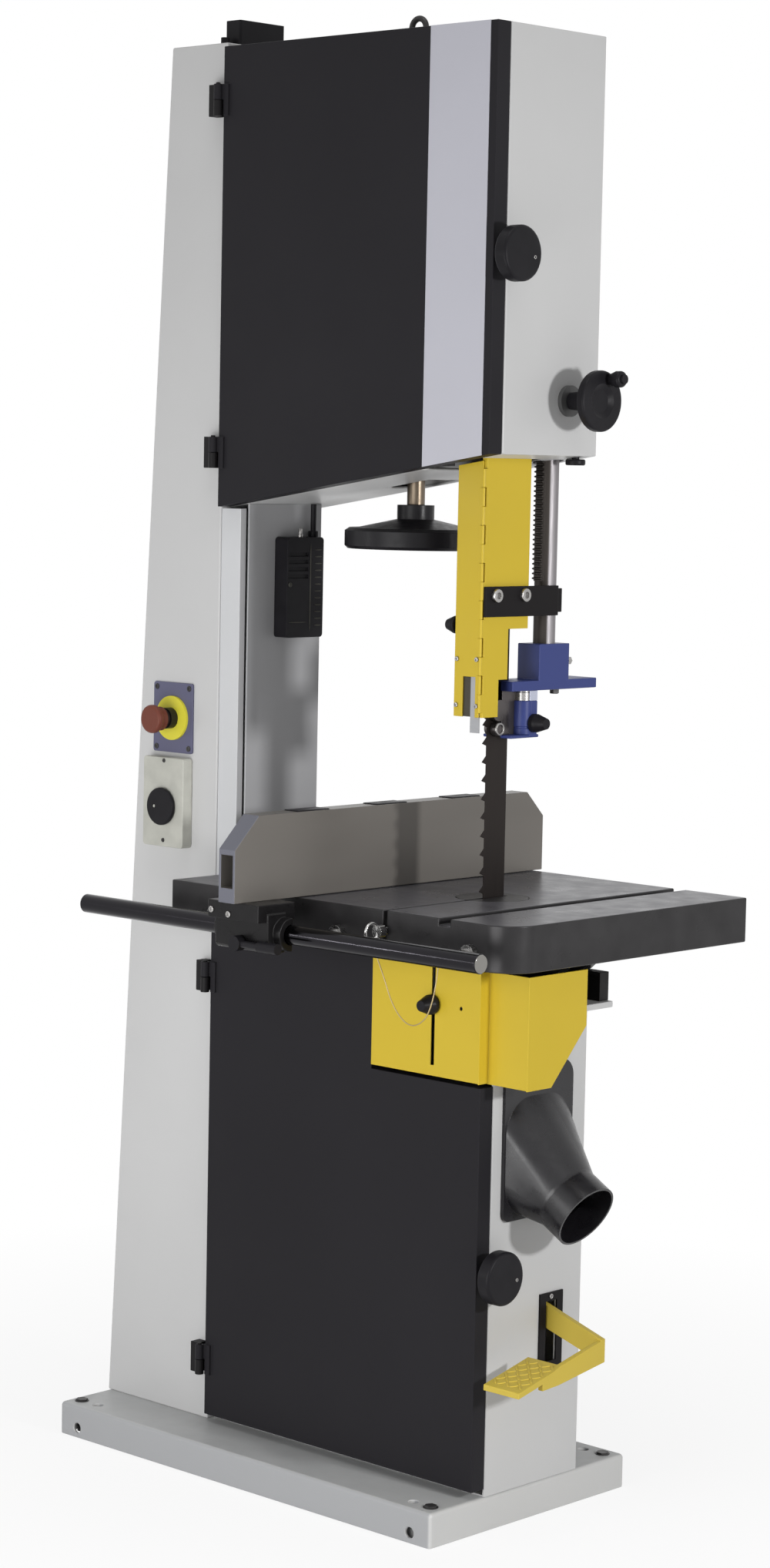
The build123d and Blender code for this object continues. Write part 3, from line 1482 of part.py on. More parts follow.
def louvre_cable():
    x = channel_right + 2 * cable_r
    y = channel_back - 24
    low = louvre_box_top
    top = underside(x - cable_r) - 0.4
    return rod_z(x, y, low, top, cable_r) + rod_z(x, y, low, low + 8, cable_r + 3)


# Lanyard of the levelling pin: a thin wire that hangs in a loop below the table edge.
def lanyard_route():
    x = blade_x
    y = lanyard_y
    z = table_height
    start_y = table_front - pin_ring_stand
    points = [(x, start_y, z - 39.7), (x + 14, y - 4, z - 70), (x + 33, y, z - 122)]
    points += [(x + 66, y + 1, z - 143), (x + 92, y + 2, z - 112)]
    points += [(lanyard_end_x, table_front - 8, z - 53.6)]
    return points


def turn_radius(before, corner, after):
    a = Vector(*before) - Vector(*corner)
    b = Vector(*after) - Vector(*corner)
    turn = math.pi - math.radians(a.get_angle(b))
    return 0.45 * min(a.length, b.length) / math.tan(turn / 2)


def pin_lanyard():
    points = lanyard_route()
    radii = []
    for index in range(1, len(points) - 1):
        radii.append(turn_radius(points[index - 1], points[index], points[index + 1]))
    path = FilletPolyline(*points, radius=radii)
    start = Plane(origin=path @ 0, z_dir=path % 0)
    return sweep(start * Circle(lanyard_r), path=path)


def lanyard_eye():
    x = lanyard_end_x
    z = table_height - 50
    return rod_y(x, table_front - 10, table_front, z, 3.0)


save("base_pan", base_pan())
save("frame_screws", levelling_screws() + [eye_bolt()])
save("column", column())
save("return_channel", [return_channel(), return_cover()])
save("upper_housing", upper_housing())
save("lower_housing", lower_housing())
save("frame_hinges", [frame_hinge(z) for z in upper_hinge_z + lower_hinge_z])
save("upper_door", upper_door())
save("door_band", door_band())
save("upper_door_knob", door_knob(upper_right, upper_knob_z))
save("lower_door", lower_door())
save("lower_door_knob", door_knob(lower_right, lower_knob_z))
save("upper_wheel", wheel(upper_wheel_z))
save("upper_tyre", tyre(upper_wheel_z))
save("lower_wheel", wheel(lower_wheel_z) + wheel_pulley())
save("lower_tyre", tyre(lower_wheel_z))
save("lower_axle", [lower_axle(), pedal_pivot()])
save("motor_pulley", motor_pulley())
save("motor", motor())
save("drive_belt", drive_belt())
save("blade_cutting_run", blade_cutting_run())
save("blade_return_loop", blade_return_loop())
save("upper_axle_block", upper_axle_block())
save("tension_slides", tension_slides() + [tension_bearing()])
save("tension_handwheel", tension_handwheel())
save("tracking_knob", tracking_knob())
save("guide_post", guide_post())
save("post_guide", [post_guide(), pinion_bush()])
save("post_handwheel", post_handwheel())
save("crank_grip", crank_grip())
save("post_lock_knob", post_lock_knob())
save("guard_bar", guard_bar())
save("guard_side", guard_side())
save("guard_front", guard_front_plate())
save("guard_shield", guard_shield())
save("guard_knob", guard_knob())
save("guide_bracket", [guide_bracket()] + guide_bodies())
save("guide_pads", guide_pads() + [thrust_disc()])
save("guide_knob", guide_knob())
save("tilt_saddles", tilt_saddles() + lower_guides())
save("tilt_segments", tilt_segments())
save("table", table())
save("table_insert", table_insert())
save("fence_rail", fence_rail())
save("table_studs", rail_studs() + [table_pin(), lanyard_eye()])
save("fence", fence())
save("fence_carriage", fence_carriage())
save("fence_lever", fence_lever())
save("lower_guard", lower_guard())
save("lower_guard_knob", lower_guard_knob())
save("dust_port", dust_port())
save("pedal_slot_plate", pedal_slot_plate())
save("brake_pedal", brake_pedal())
save("estop_plate", estop_plate())
save("estop_ring", estop_ring())
save("estop_button", estop_button())
save("switch_box", switch_box())
save("switch_knob", switch_knob())
save("electric_boxes", [limit_switch_box(), louvre_box(), louvre_cable()])
save("pin_lanyard", pin_lanyard())
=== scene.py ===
import bmesh
import bpy
import math
from mathutils import Matrix, Vector


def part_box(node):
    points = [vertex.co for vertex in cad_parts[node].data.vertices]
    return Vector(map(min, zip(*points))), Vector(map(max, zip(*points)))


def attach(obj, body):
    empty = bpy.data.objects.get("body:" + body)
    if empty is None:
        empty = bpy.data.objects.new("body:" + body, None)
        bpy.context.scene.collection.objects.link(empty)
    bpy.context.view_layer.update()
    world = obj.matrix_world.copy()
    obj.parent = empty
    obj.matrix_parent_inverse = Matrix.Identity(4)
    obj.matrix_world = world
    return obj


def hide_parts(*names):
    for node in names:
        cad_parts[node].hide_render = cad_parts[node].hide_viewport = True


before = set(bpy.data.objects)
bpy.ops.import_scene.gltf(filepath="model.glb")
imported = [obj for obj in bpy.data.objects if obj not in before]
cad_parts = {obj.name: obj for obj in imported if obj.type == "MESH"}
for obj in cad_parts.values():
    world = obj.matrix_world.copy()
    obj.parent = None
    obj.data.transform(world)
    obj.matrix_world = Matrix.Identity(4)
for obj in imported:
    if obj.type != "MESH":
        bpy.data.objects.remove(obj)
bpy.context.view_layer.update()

# ---------------------------------------------------------------- Camera and studio
# The camera stands at the right front corner of the saw, a little above its middle,
# and looks slightly down. Pale floor, white surroundings and four lamps: a soft one in
# front, a small one at either side and a large one overhead.
camera_place = Vector((3.15745, -3.29032, 1.37683))
camera_yaw = math.radians(43.1957)
camera_pitch = math.radians(-5.4605)
camera_roll = math.radians(1.1390)
focal_length_pixels = 4375.02
picture_height_pixels = 2036.0
sensor_height = 24.0
look = Vector((-math.sin(camera_yaw) * math.cos(camera_pitch),
               math.cos(camera_yaw) * math.cos(camera_pitch),
               math.sin(camera_pitch)))
level_right = Vector((math.cos(camera_yaw), math.sin(camera_yaw), 0.0))
level_up = level_right.cross(look)
right = level_right * math.cos(camera_roll) + level_up * math.sin(camera_roll)
up = level_up * math.cos(camera_roll) - level_right * math.sin(camera_roll)
camera_data = bpy.data.cameras.new("camera")
camera_data.sensor_fit = "VERTICAL"
camera_data.sensor_height = sensor_height
camera_data.lens = focal_length_pixels * sensor_height / picture_height_pixels
camera = bpy.data.objects.new("camera", camera_data)
camera_turn = Matrix((right, up, -look)).transposed().to_4x4()
camera.matrix_world = Matrix.Translation(camera_place) @ camera_turn
bpy.context.scene.collection.objects.link(camera)
bpy.context.scene.camera = camera
bpy.context.scene.view_settings.view_transform = "Standard"


def white_for_the_eye(tree, lit, glow, share=None):
    """Lays a white glow over a lit shader, for what the camera and reflections see."""
    path = tree.nodes.new("ShaderNodeLightPath")
    seen = tree.nodes.new("ShaderNodeMath")
    seen.operation = "MAXIMUM"
    tree.links.new(path.outputs["Is Camera Ray"], seen.inputs[0])
    tree.links.new(path.outputs["Is Glossy Ray"], seen.inputs[1])
    seen_too = tree.nodes.new("ShaderNodeMath")
    seen_too.operation = "MAXIMUM"
    tree.links.new(seen.outputs[0], seen_too.inputs[0])
    tree.links.new(path.outputs["Is Transmission Ray"], seen_too.inputs[1])
    factor = seen_too.outputs[0]
    if share is not None:
        part = tree.nodes.new("ShaderNodeMath")
        part.operation = "MULTIPLY"
        tree.links.new(factor, part.inputs[0])
        tree.links.new(share, part.inputs[1])
        factor = part.outputs[0]
    mix = tree.nodes.new("ShaderNodeMixShader")
    tree.links.new(factor, mix.inputs[0])
    tree.links.new(lit, mix.inputs[1])
    tree.links.new(glow, mix.inputs[2])
    return mix.outputs[0]


white = (1.0, 1.0, 1.0, 1.0)
room_light = 0.26
world = bpy.data.worlds.new("studio")
bpy.context.scene.world = world
world.use_nodes = True
soft_light = world.node_tree.nodes["Background"]
soft_light.inputs["Color"].default_value = white
soft_light.inputs["Strength"].default_value = room_light
white_wall = world.node_tree.nodes.new("ShaderNodeBackground")
white_wall.inputs["Color"].default_value = white
white_wall.inputs["Strength"].default_value = 1.0
world_seen = white_for_the_eye(world.node_tree, soft_light.outputs[0], white_wall.outputs[0])
world.node_tree.links.new(world_seen, world.node_tree.nodes["World Output"].inputs["Surface"])

floor_half = 7.0
floor_mesh = bpy.data.meshes.new("floor")
bm = bmesh.new()
bmesh.ops.create_grid(bm, x_segments=1, y_segments=1, size=floor_half)
bm.to_mesh(floor_mesh)
bm.free()
floor = bpy.data.objects.new("floor", floor_mesh)
bpy.context.scene.collection.objects.link(floor)
floor_paint = bpy.data.materials.new("floor_paint")
floor_paint.use_nodes = True
floor_tree = floor_paint.node_tree
floor_shader = floor_tree.nodes["Principled BSDF"]
floor_shader.inputs["Base Color"].default_value = (0.86, 0.86, 0.86, 1.0)
floor_shader.inputs["Roughness"].default_value = 0.9
floor_shader.inputs["Specular IOR Level"].default_value = 0.1
floor_glow = floor_tree.nodes.new("ShaderNodeEmission")
floor_place = floor_tree.nodes.new("ShaderNodeTexCoord")
floor_reach = floor_tree.nodes.new("ShaderNodeVectorMath")
floor_reach.operation = "LENGTH"
floor_tree.links.new(floor_place.outputs["Object"], floor_reach.inputs[0])
floor_fade = floor_tree.nodes.new("ShaderNodeMapRange")
for socket, value in (("From Min", 0.35), ("From Max", 1.5), ("To Min", 0.86), ("To Max", 1.0)):
    floor_fade.inputs[socket].default_value = value
floor_tree.links.new(floor_reach.outputs["Value"], floor_fade.inputs["Value"])
floor_seen = white_for_the_eye(floor_tree, floor_shader.outputs[0], floor_glow.outputs[0],
                               floor_fade.outputs["Result"])
floor_tree.links.new(floor_seen, floor_tree.nodes["Material Output"].inputs["Surface"])
floor_mesh.materials.append(floor_paint)

lamp_target = Vector((0.0, 0.0, 1.0))
for lamp_name, place, watts, size in (
        ("front_lamp", (0.32, -1.95, 0.7), 24.0, 1.2),
        ("right_lamp", (3.0, 0.0, 1.36), 40.0, 0.22),
        ("left_lamp", (-2.6, -3.4, 1.3), 6.0, 0.25),
        ("top_lamp", (0.8, -1.2, 5.2), 38.0, 1.6)):
    lamp_data = bpy.data.lights.new(lamp_name, "AREA")
    lamp_data.energy = watts
    lamp_data.size = size
    lamp = bpy.data.objects.new(lamp_name, lamp_data)
    lamp_turn = (lamp_target - Vector(place)).to_track_quat("-Z", "Y").to_matrix().to_4x4()
    lamp.matrix_world = Matrix.Translation(place) @ lamp_turn
    bpy.context.scene.collection.objects.link(lamp)

# ---------------------------------------------------------------- Base pan
# A shallow tray of folded and welded sheet steel, stoved in light grey enamel. The
# bends are rounded by the press brake, and the paint has a fine orange-peel skin.


def shade(red, green, blue):
    """A colour as read from a colour card, made linear for the shader."""
    def one(value):
        value /= 255.0
        return value / 12.92 if value <= 0.04045 else ((value + 0.055) / 1.055) ** 2.4
    return (one(red), one(green), one(blue))


def coating(name, colour, roughness, metal=0.0, shine=0.5):
    """A new finish with one shader, its colour and gloss set, and the place it reads."""
    finish = bpy.data.materials.new(name)
    finish.use_nodes = True
    tree = finish.node_tree
    shader = tree.nodes["Principled BSDF"]
    shader.inputs["Base Color"].default_value = (*colour, 1.0)
    shader.inputs["Roughness"].default_value = roughness
    shader.inputs["Metallic"].default_value = metal
    shader.inputs["Specular IOR Level"].default_value = shine
    where = tree.nodes.new("ShaderNodeTexCoord").outputs["Object"]
    return finish, tree, shader, where


def facing(tree):
    """The direction a face of the piece looks in."""
    return tree.nodes["Texture Coordinate"].outputs["Normal"]


def along_axis(tree, vector, axis):
    """The share of a place or direction along one axis of the piece."""
    apart = tree.nodes.new("ShaderNodeSeparateXYZ")
    tree.links.new(vector, apart.inputs[0])
    return apart.outputs[axis]


def cloud(tree, where, scale, detail=3.0, stretch=(1.0, 1.0, 1.0)):
    """Noise over the piece, drawn out along an axis where stretch is small."""
    turn = tree.nodes.new("ShaderNodeMapping")
    turn.inputs["Scale"].default_value = stretch
    tree.links.new(where, turn.inputs["Vector"])
    noise = tree.nodes.new("ShaderNodeTexNoise")
    noise.inputs["Scale"].default_value = scale
    noise.inputs["Detail"].default_value = detail
    tree.links.new(turn.outputs[0], noise.inputs["Vector"])
    return noise.outputs["Fac"]


def between(tree, mask, low, high, start=0.3, end=0.7):
    """A number that runs from low to high as the mask runs from start to end."""
    ramp = tree.nodes.new("ShaderNodeMapRange")
    for socket, value in (("From Min", start), ("From Max", end), ("To Min", low), ("To Max", high)):
        ramp.inputs[socket].default_value = value
    tree.links.new(mask, ramp.inputs["Value"])
    return ramp.outputs["Result"]


def laid_over(tree, share, under, over):
    """One colour over another by a share; each is a colour or the output of a node."""
    mix = tree.nodes.new("ShaderNodeMix")
    mix.data_type = "RGBA"
    tree.links.new(share, mix.inputs["Factor"])
    for socket, colour in (("A", under), ("B", over)):
        if isinstance(colour, tuple):
            mix.inputs[socket].default_value = (*colour, 1.0)
        else:
            tree.links.new(colour, mix.inputs[socket])
    return mix.outputs["Result"]


def two_tone(tree, mask, first, second, start=0.3, end=0.7):
    """A colour that runs from first to second as the mask runs from start to end."""
    return laid_over(tree, between(tree, mask, 0.0, 1.0, start, end), first, second)


def skin(tree, shader, mask, strength, depth, edge=0.0):
    """Fine relief on the surface, with edges rounded by eye over a small radius."""
    bump = tree.nodes.new("ShaderNodeBump")
    bump.inputs["Strength"].default_value = strength
    bump.inputs["Distance"].default_value = depth
    tree.links.new(mask, bump.inputs["Height"])
    if edge:
        rounding = tree.nodes.new("ShaderNodeBevel")
        rounding.samples = 4
        rounding.inputs["Radius"].default_value = edge
        tree.links.new(rounding.outputs[0], bump.inputs["Normal"])
    tree.links.new(bump.outputs[0], shader.inputs["Normal"])


def stoved_enamel(name, colour, roughness, spread=0.05, peel=420.0, peel_strength=0.12, shine=0.5):
    """Sprayed and baked paint: slight drift of tone, uneven gloss, orange-peel skin."""
    finish, tree, shader, where = coating(name, colour, roughness, shine=shine)
    darker = tuple(c * (1.0 - spread) for c in colour)
    lighter = tuple(c * (1.0 + spread) for c in colour)
    tone = two_tone(tree, cloud(tree, where, scale=3.2), darker, lighter)
    tree.links.new(tone, shader.inputs["Base Color"])
    gloss = between(tree, cloud(tree, where, scale=9.0, detail=4.0), roughness - 0.05, roughness + 0.07)
    tree.links.new(gloss, shader.inputs["Roughness"])
    skin(tree, shader, cloud(tree, where, scale=peel, detail=2.0), peel_strength, depth=0.0004)
    return finish


def softened(node, body, finish, width, bend=None, split=None):
    """A copy of a CAD piece with its seams closed and its sharp edges slightly rounded.

    A bend is the x and y of one upright edge and the larger radius it is folded to. The
    flats that split picks by their direction stay in triangles, so openings stay open."""
    seam, near = 2e-5, 1e-4
    flat_angle, sharp_angle = math.radians(0.8), math.radians(34.0)
    bm = bmesh.new()
    bm.from_mesh(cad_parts[node].data)
    bmesh.ops.remove_doubles(bm, verts=bm.verts, dist=seam)
    mesh = bpy.data.meshes.new(node + "_softened")
    bm.to_mesh(mesh)
    area = sum(face.calc_area() for face in bm.faces)
    bmesh.ops.dissolve_limit(bm, angle_limit=flat_angle, verts=bm.verts, edges=bm.edges)
    if abs(sum(face.calc_area() for face in bm.faces) - area) < near * area:
        bm.to_mesh(mesh)
    if bend:
        edge_x, edge_y, radius = bend
        folded = [edge for edge in bm.edges
                  if all(abs(v.co.x - edge_x) < near and abs(v.co.y - edge_y) < near for v in edge.verts)]
        bmesh.ops.bevel(bm, geom=folded, offset=radius, offset_type="OFFSET", affect="EDGES",
                        segments=3, profile=0.5, material=-1)
        bm.to_mesh(mesh)
    if split:
        bm.normal_update()
        bmesh.ops.triangulate(bm, faces=[face for face in bm.faces if split(face.normal)])
        bm.to_mesh(mesh)
    bm.free()
    mesh.materials.clear()
    mesh.materials.append(finish)
    for face in mesh.polygons:
        face.use_smooth = True
        face.material_index = 0
    piece = bpy.data.objects.new(node + "_softened", mesh)
    bpy.context.scene.collection.objects.link(piece)
    rounding = piece.modifiers.new("edges", "BEVEL")
    rounding.width = width
    rounding.segments = 2
    rounding.limit_method = "ANGLE"
    rounding.angle_limit = sharp_angle
    rounding.use_clamp_overlap = False
    evening = piece.modifiers.new("flats", "WEIGHTED_NORMAL")
    evening.mode = "FACE_AREA"
    evening.weight = 100
    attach(piece, body)
    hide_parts(node)
    return piece


pan_grey, tree, shader, where = coating("pan_grey", shade(183, 184, 184), roughness=0.42, shine=0.3)
pan_drift = cloud(tree, where, scale=14.0, detail=4.0)
pan_top = two_tone(tree, pan_drift, shade(178, 179, 179), shade(187, 188, 188))
# Faces turned to the front are painted darker and faces turned to the right painted lighter: painted shade
# and painted light for how the lamps fall on them.
front_shade_share = between(tree, along_axis(tree, facing(tree), "Y"), low=1.0, high=0.0, start=-0.7, end=-0.3)
pan_with_front_shade = laid_over(tree, front_shade_share, pan_top, shade(166, 167, 169))
side_light_share = between(tree, along_axis(tree, facing(tree), "X"), low=0.0, high=1.0)
pan_with_side_light = laid_over(tree, side_light_share, pan_with_front_shade, shade(202, 202, 201))
tree.links.new(pan_with_side_light, shader.inputs["Base Color"])
tree.links.new(between(tree, cloud(tree, where, scale=60.0), 0.36, 0.48), shader.inputs["Roughness"])
skin(tree, shader, cloud(tree, where, scale=520.0), strength=0.12, depth=0.0003)
softened("base_pan", "frame", pan_grey, width=0.0016)

# ---------------------------------------------------------------- Levelling screws
# Blackened hexagon screws with washers through the corners of the base pan. They are
# bought in, oiled black, with brighter worn flats.


def dress(node, finish):
    """Gives a CAD piece that keeps its own shape its finish."""
    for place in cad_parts[node].material_slots:
        place.material = finish


def oiled_black(name, colour, roughness, metal=0.6):
    """Blackened steel: dark, with cloudy gloss and a trace of bare metal."""
    finish, tree, shader, where = coating(name, colour, roughness, metal, shine=0.2)
    bare = tuple(min(1.0, c * 2.2 + 0.02) for c in colour)
    worn = two_tone(tree, cloud(tree, where, scale=55.0, detail=5.0), colour, bare, start=0.5, end=0.9)
    tree.links.new(worn, shader.inputs["Base Color"])
    gloss = between(tree, cloud(tree, where, scale=120.0), roughness - 0.08, roughness + 0.1)
    tree.links.new(gloss, shader.inputs["Roughness"])
    skin(tree, shader, cloud(tree, where, scale=900.0, detail=2.0), strength=0.08, depth=0.0003, edge=0.0006)
    return finish


screw_black = oiled_black("screw_black", shade(62, 61, 61), roughness=0.42)
dress("frame_screws", screw_black)

# ---------------------------------------------------------------- Column and return channel
# The tapered box column is welded from bent sheet and stoved in the same grey enamel.
# The channel beside it hides the returning blade; its cover is a narrow folded strip.
panel_grey = stoved_enamel("panel_grey", shade(197, 197, 197), roughness=0.36, spread=0.03, shine=0.35)
softened("column", "frame", panel_grey, width=0.0022)
channel_grey, tree, shader, where = coating("channel_grey", shade(203, 204, 206), roughness=0.4, shine=0.3)
strip_tone = two_tone(tree, cloud(tree, where, scale=3.2), shade(199, 200, 202), shade(206, 207, 209))
# The faces looking right into the throat are painted a darker grey: painted shade, standing in for the shade
# that falls in the throat.
throat_painted_shade = two_tone(tree, cloud(tree, where, scale=2.4), shade(160, 160, 162), shade(174, 174, 176))
throat_shade_share = between(tree, along_axis(tree, facing(tree), "X"), low=0.0, high=1.0, start=0.7, end=0.95)
tree.links.new(laid_over(tree, throat_shade_share, strip_tone, throat_painted_shade), shader.inputs["Base Color"])
skin(tree, shader, cloud(tree, where, scale=420.0, detail=2.0), strength=0.12, depth=0.0004)
softened("return_channel", "frame", channel_grey, width=0.0009)

# ---------------------------------------------------------------- Cabinets
# Two open-fronted boxes of 3 mm sheet, welded to the column: the upper with a sloping
# floor, the lower stepped down at the right to carry the tilt shelf. Same grey enamel.


def open_side(normal):
    """Picks the flats that face the front or lie level, where the cabinets are open."""
    return normal.y < -0.9 or abs(normal.z) > 0.6


cabinet_edge = 0.0011
cabinet_bend = 0.0026
upper_low, upper_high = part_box("upper_housing")
lower_side = 0.355
softened("upper_housing", "frame", panel_grey, width=cabinet_edge,
         bend=(upper_high[0], upper_low[1], cabinet_bend), split=open_side)
softened("lower_housing", "frame", panel_grey, width=cabinet_edge,
         bend=(lower_side, upper_low[1], cabinet_bend), split=open_side)

# ---------------------------------------------------------------- Frame hinge halves
# Four block hinges of steel, painted black and screwed to the column beside the doors,
# two for each door.
hinge_black = stoved_enamel("hinge_black", shade(26, 25, 26), roughness=0.45, spread=0.12,
                            peel=700.0, peel_strength=0.15, shine=0.12)
softened("frame_hinges", "frame", hinge_black, width=0.0006)

# ---------------------------------------------------------------- Wheels, axles and slides
# Cast iron band wheels, turned on the rim, with bonded rubber tyres. The lower axle and
# the upper axle block are steel and iron castings, hidden behind the doors.


def casting(name, colour, roughness, metal):
    """Iron as cast: coarse sand skin, uneven tone, satin where it is turned."""
    finish, tree, shader, where = coating(name, colour, roughness, metal, shine=0.2)
    darker = tuple(c * 0.75 for c in colour)
    tone = two_tone(tree, cloud(tree, where, scale=14.0, detail=5.0), darker, colour)
    tree.links.new(tone, shader.inputs["Base Color"])
    gloss = between(tree, cloud(tree, where, scale=60.0, detail=4.0), roughness - 0.07, roughness + 0.08)
    tree.links.new(gloss, shader.inputs["Roughness"])
    skin(tree, shader, cloud(tree, where, scale=340.0, detail=4.0), strength=0.25, depth=0.0006)
    return finish


def drawn_steel(name, colour, roughness, stretch, metal=1.0):
    """Bare steel with fine drawing or grinding lines along one direction."""
    finish, tree, shader, where = coating(name, colour, roughness, metal)
    lines = cloud(tree, where, scale=700.0, detail=4.0, stretch=stretch)
    darker = tuple(c * 0.82 for c in colour)
    tree.links.new(two_tone(tree, lines, darker, colour), shader.inputs["Base Color"])
    tree.links.new(between(tree, lines, roughness - 0.06, roughness + 0.1), shader.inputs["Roughness"])
    skin(tree, shader, lines, strength=0.06, depth=0.0002, edge=0.0005)
    return finish


wheel_iron = casting("wheel_iron", shade(112, 112, 112), roughness=0.5, metal=0.55)
axle_steel = drawn_steel("axle_steel", shade(168, 167, 166), roughness=0.3, stretch=(1.0, 0.05, 1.0))
slide_steel = drawn_steel("slide_steel", shade(150, 149, 148), roughness=0.34, stretch=(1.0, 1.0, 0.04))
for node in ("upper_wheel", "lower_wheel", "upper_axle_block", "post_guide"):
    dress(node, wheel_iron)
dress("lower_axle", axle_steel)
dress("tension_slides", slide_steel)
tyre_rubber, tree, shader, where = coating("tyre_rubber", shade(34, 33, 33), roughness=0.75)
tyre_tone = two_tone(tree, cloud(tree, where, scale=40.0, detail=4.0), shade(28, 27, 27), shade(44, 42, 41))
tree.links.new(tyre_tone, shader.inputs["Base Color"])
skin(tree, shader, cloud(tree, where, scale=800.0), strength=0.2, depth=0.0004)
dress("upper_tyre", tyre_rubber)
dress("lower_tyre", tyre_rubber)

# ---------------------------------------------------------------- Motor and belt
# A flange motor with a ribbed cast body on the back of the lower cabinet, painted dark
# grey. A flat rubber belt runs from its pulley to the lower wheel.
motor_grey = stoved_enamel("motor_grey", shade(74, 77, 80), roughness=0.45, spread=0.06,
                           peel=500.0, peel_strength=0.2, shine=0.25)
dress("motor", motor_grey)
dress("motor_pulley", axle_steel)
dress("drive_belt", tyre_rubber)

# ---------------------------------------------------------------- Blade
# Spring steel strip with a hardened dark finish and fine drawing lines. The cutting run
# passes guard, guides and table; the rest runs round the wheels.
blade_dark = drawn_steel("blade_dark", shade(43, 38, 36), roughness=0.42,
                         stretch=(1.0, 1.0, 0.03), metal=0.85)
dress("blade_cutting_run", blade_dark)
dress("blade_return_loop", blade_dark)

# ---------------------------------------------------------------- Tension and tracking
# The blade tension handwheel hangs under the upper cabinet, a turned and black-painted
# iron disc on a steel screw. The tracking knob on the back is black moulding.


def moulded(name, colour, roughness, grain=1400.0, grain_strength=0.2, shine=0.2):
    """Moulded thermoset: even colour, fine spark-erosion grain, soft sheen."""
    finish, tree, shader, where = coating(name, colour, roughness, shine=shine)
    lighter = tuple(c * 1.25 + 0.002 for c in colour)
    tone = two_tone(tree, cloud(tree, where, scale=30.0, detail=4.0), colour, lighter)
    tree.links.new(tone, shader.inputs["Base Color"])
    gloss = between(tree, cloud(tree, where, scale=70.0), roughness - 0.06, roughness + 0.06)
    tree.links.new(gloss, shader.inputs["Roughness"])
    skin(tree, shader, cloud(tree, where, scale=grain, detail=2.0), grain_strength, depth=0.0003, edge=0.0008)
    return finish


knob_black = moulded("knob_black", shade(26, 25, 28), roughness=0.4, shine=0.1)
wheel_black, tree, shader, where = coating("wheel_black", shade(27, 26, 29), roughness=0.36, shine=0.18)
height = along_axis(tree, where, "Z")
screw_start, screw_full = 1.3203, 1.3213
wheel_tone = two_tone(tree, height, shade(27, 26, 29), shade(110, 99, 86), screw_start, screw_full)
tree.links.new(wheel_tone, shader.inputs["Base Color"])
tree.links.new(between(tree, height, 0.0, 1.0, screw_start, screw_full), shader.inputs["Metallic"])
wheel_gloss = between(tree, cloud(tree, where, scale=90.0, detail=4.0), 0.3, 0.42)
tree.links.new(wheel_gloss, shader.inputs["Roughness"])
skin(tree, shader, cloud(tree, where, scale=600.0, detail=2.0), strength=0.12, depth=0.0004, edge=0.0008)
dress("tension_handwheel", wheel_black)
dress("tracking_knob", knob_black)

# ---------------------------------------------------------------- Guide post and its drive
# A ground steel post with a rack on its front face, raised by a pinion. The handwheel
# has a spinning crank grip; a small round knob below the cabinet locks the post.
post_steel, tree, shader, where = coating("post_steel", shade(128, 125, 127), roughness=0.5, metal=0.9)
# The rack's front face is painted dark: painted shade, for the shade the rack lies in.
rack_face, post_face = 0.0528, 0.0543
post_with_painted_rack_shade = two_tone(tree, along_axis(tree, where, "Y"), shade(64, 60, 57), shade(132, 129, 131),
                     rack_face, post_face)
tree.links.new(post_with_painted_rack_shade, shader.inputs["Base Color"])
post_lines = cloud(tree, where, scale=700.0, detail=4.0, stretch=(1.0, 1.0, 0.05))
tree.links.new(between(tree, post_lines, 0.44, 0.56), shader.inputs["Roughness"])
skin(tree, shader, post_lines, strength=0.06, depth=0.0002, edge=0.0005)
dress("guide_post", post_steel)
dress("post_handwheel", knob_black)
dress("crank_grip", knob_black)
dress("post_lock_knob", knob_black)

# ---------------------------------------------------------------- Blade guard
# Folded sheet in signal yellow: a side plate fixed to the black bar, and a front plate
# that swings open on a long pin hinge. A grey shield closes the window in the front.
guard_yellow = stoved_enamel("guard_yellow", shade(202, 175, 46), roughness=0.4, spread=0.04,
                             peel=520.0, peel_strength=0.14, shine=0.3)
bar_black = stoved_enamel("bar_black", shade(26, 24, 25), roughness=0.42, spread=0.1,
                          peel=700.0, peel_strength=0.15, shine=0.08)
shield_grey, tree, shader, where = coating("shield_grey", shade(168, 169, 172), roughness=0.4, shine=0.3)
# The shield's flap behind the window is painted a dark yellow-brown: painted shade, for the shade that falls
# inside the guard.
shaded_flap_edge, shield_edge = 0.2838, 0.2842
shield_with_painted_shade = two_tone(tree, along_axis(tree, where, "X"), shade(58, 54, 42), shade(168, 169, 172),
                       shaded_flap_edge, shield_edge)
tree.links.new(shield_with_painted_shade, shader.inputs["Base Color"])
shield_gloss = between(tree, cloud(tree, where, scale=60.0, detail=4.0), 0.34, 0.48)
tree.links.new(shield_gloss, shader.inputs["Roughness"])
skin(tree, shader, cloud(tree, where, scale=500.0), strength=0.1, depth=0.0003)
softened("guard_side", "guide", guard_yellow, width=0.0005)
softened("guard_front", "guard_front", guard_yellow, width=0.0005)
softened("guard_bar", "guide", bar_black, width=0.0008)
dress("guard_shield", shield_grey)
dress("guard_knob", knob_black)


def turned(bm, profile, place, along, steps=24):
    """Spins a profile of (radius, height) points about its own axis and sets it in place."""
    before = set(bm.verts)
    points = [bm.verts.new((radius, 0.0, rise)) for radius, rise in profile]
    edges = [bm.edges.new(pair) for pair in zip(points, points[1:])]
    bmesh.ops.spin(bm, geom=points + edges, cent=(0, 0, 0), axis=(0, 0, 1), angle=math.tau,
                   steps=steps, use_merge=True)
    bmesh.ops.remove_doubles(bm, verts=[v for v in bm.verts if v not in before], dist=1e-6)
    set_in = Matrix.Translation(place) @ Vector(along).to_track_quat("Z", "Y").to_matrix().to_4x4()
    bmesh.ops.transform(bm, matrix=set_in, verts=[v for v in bm.verts if v not in before])


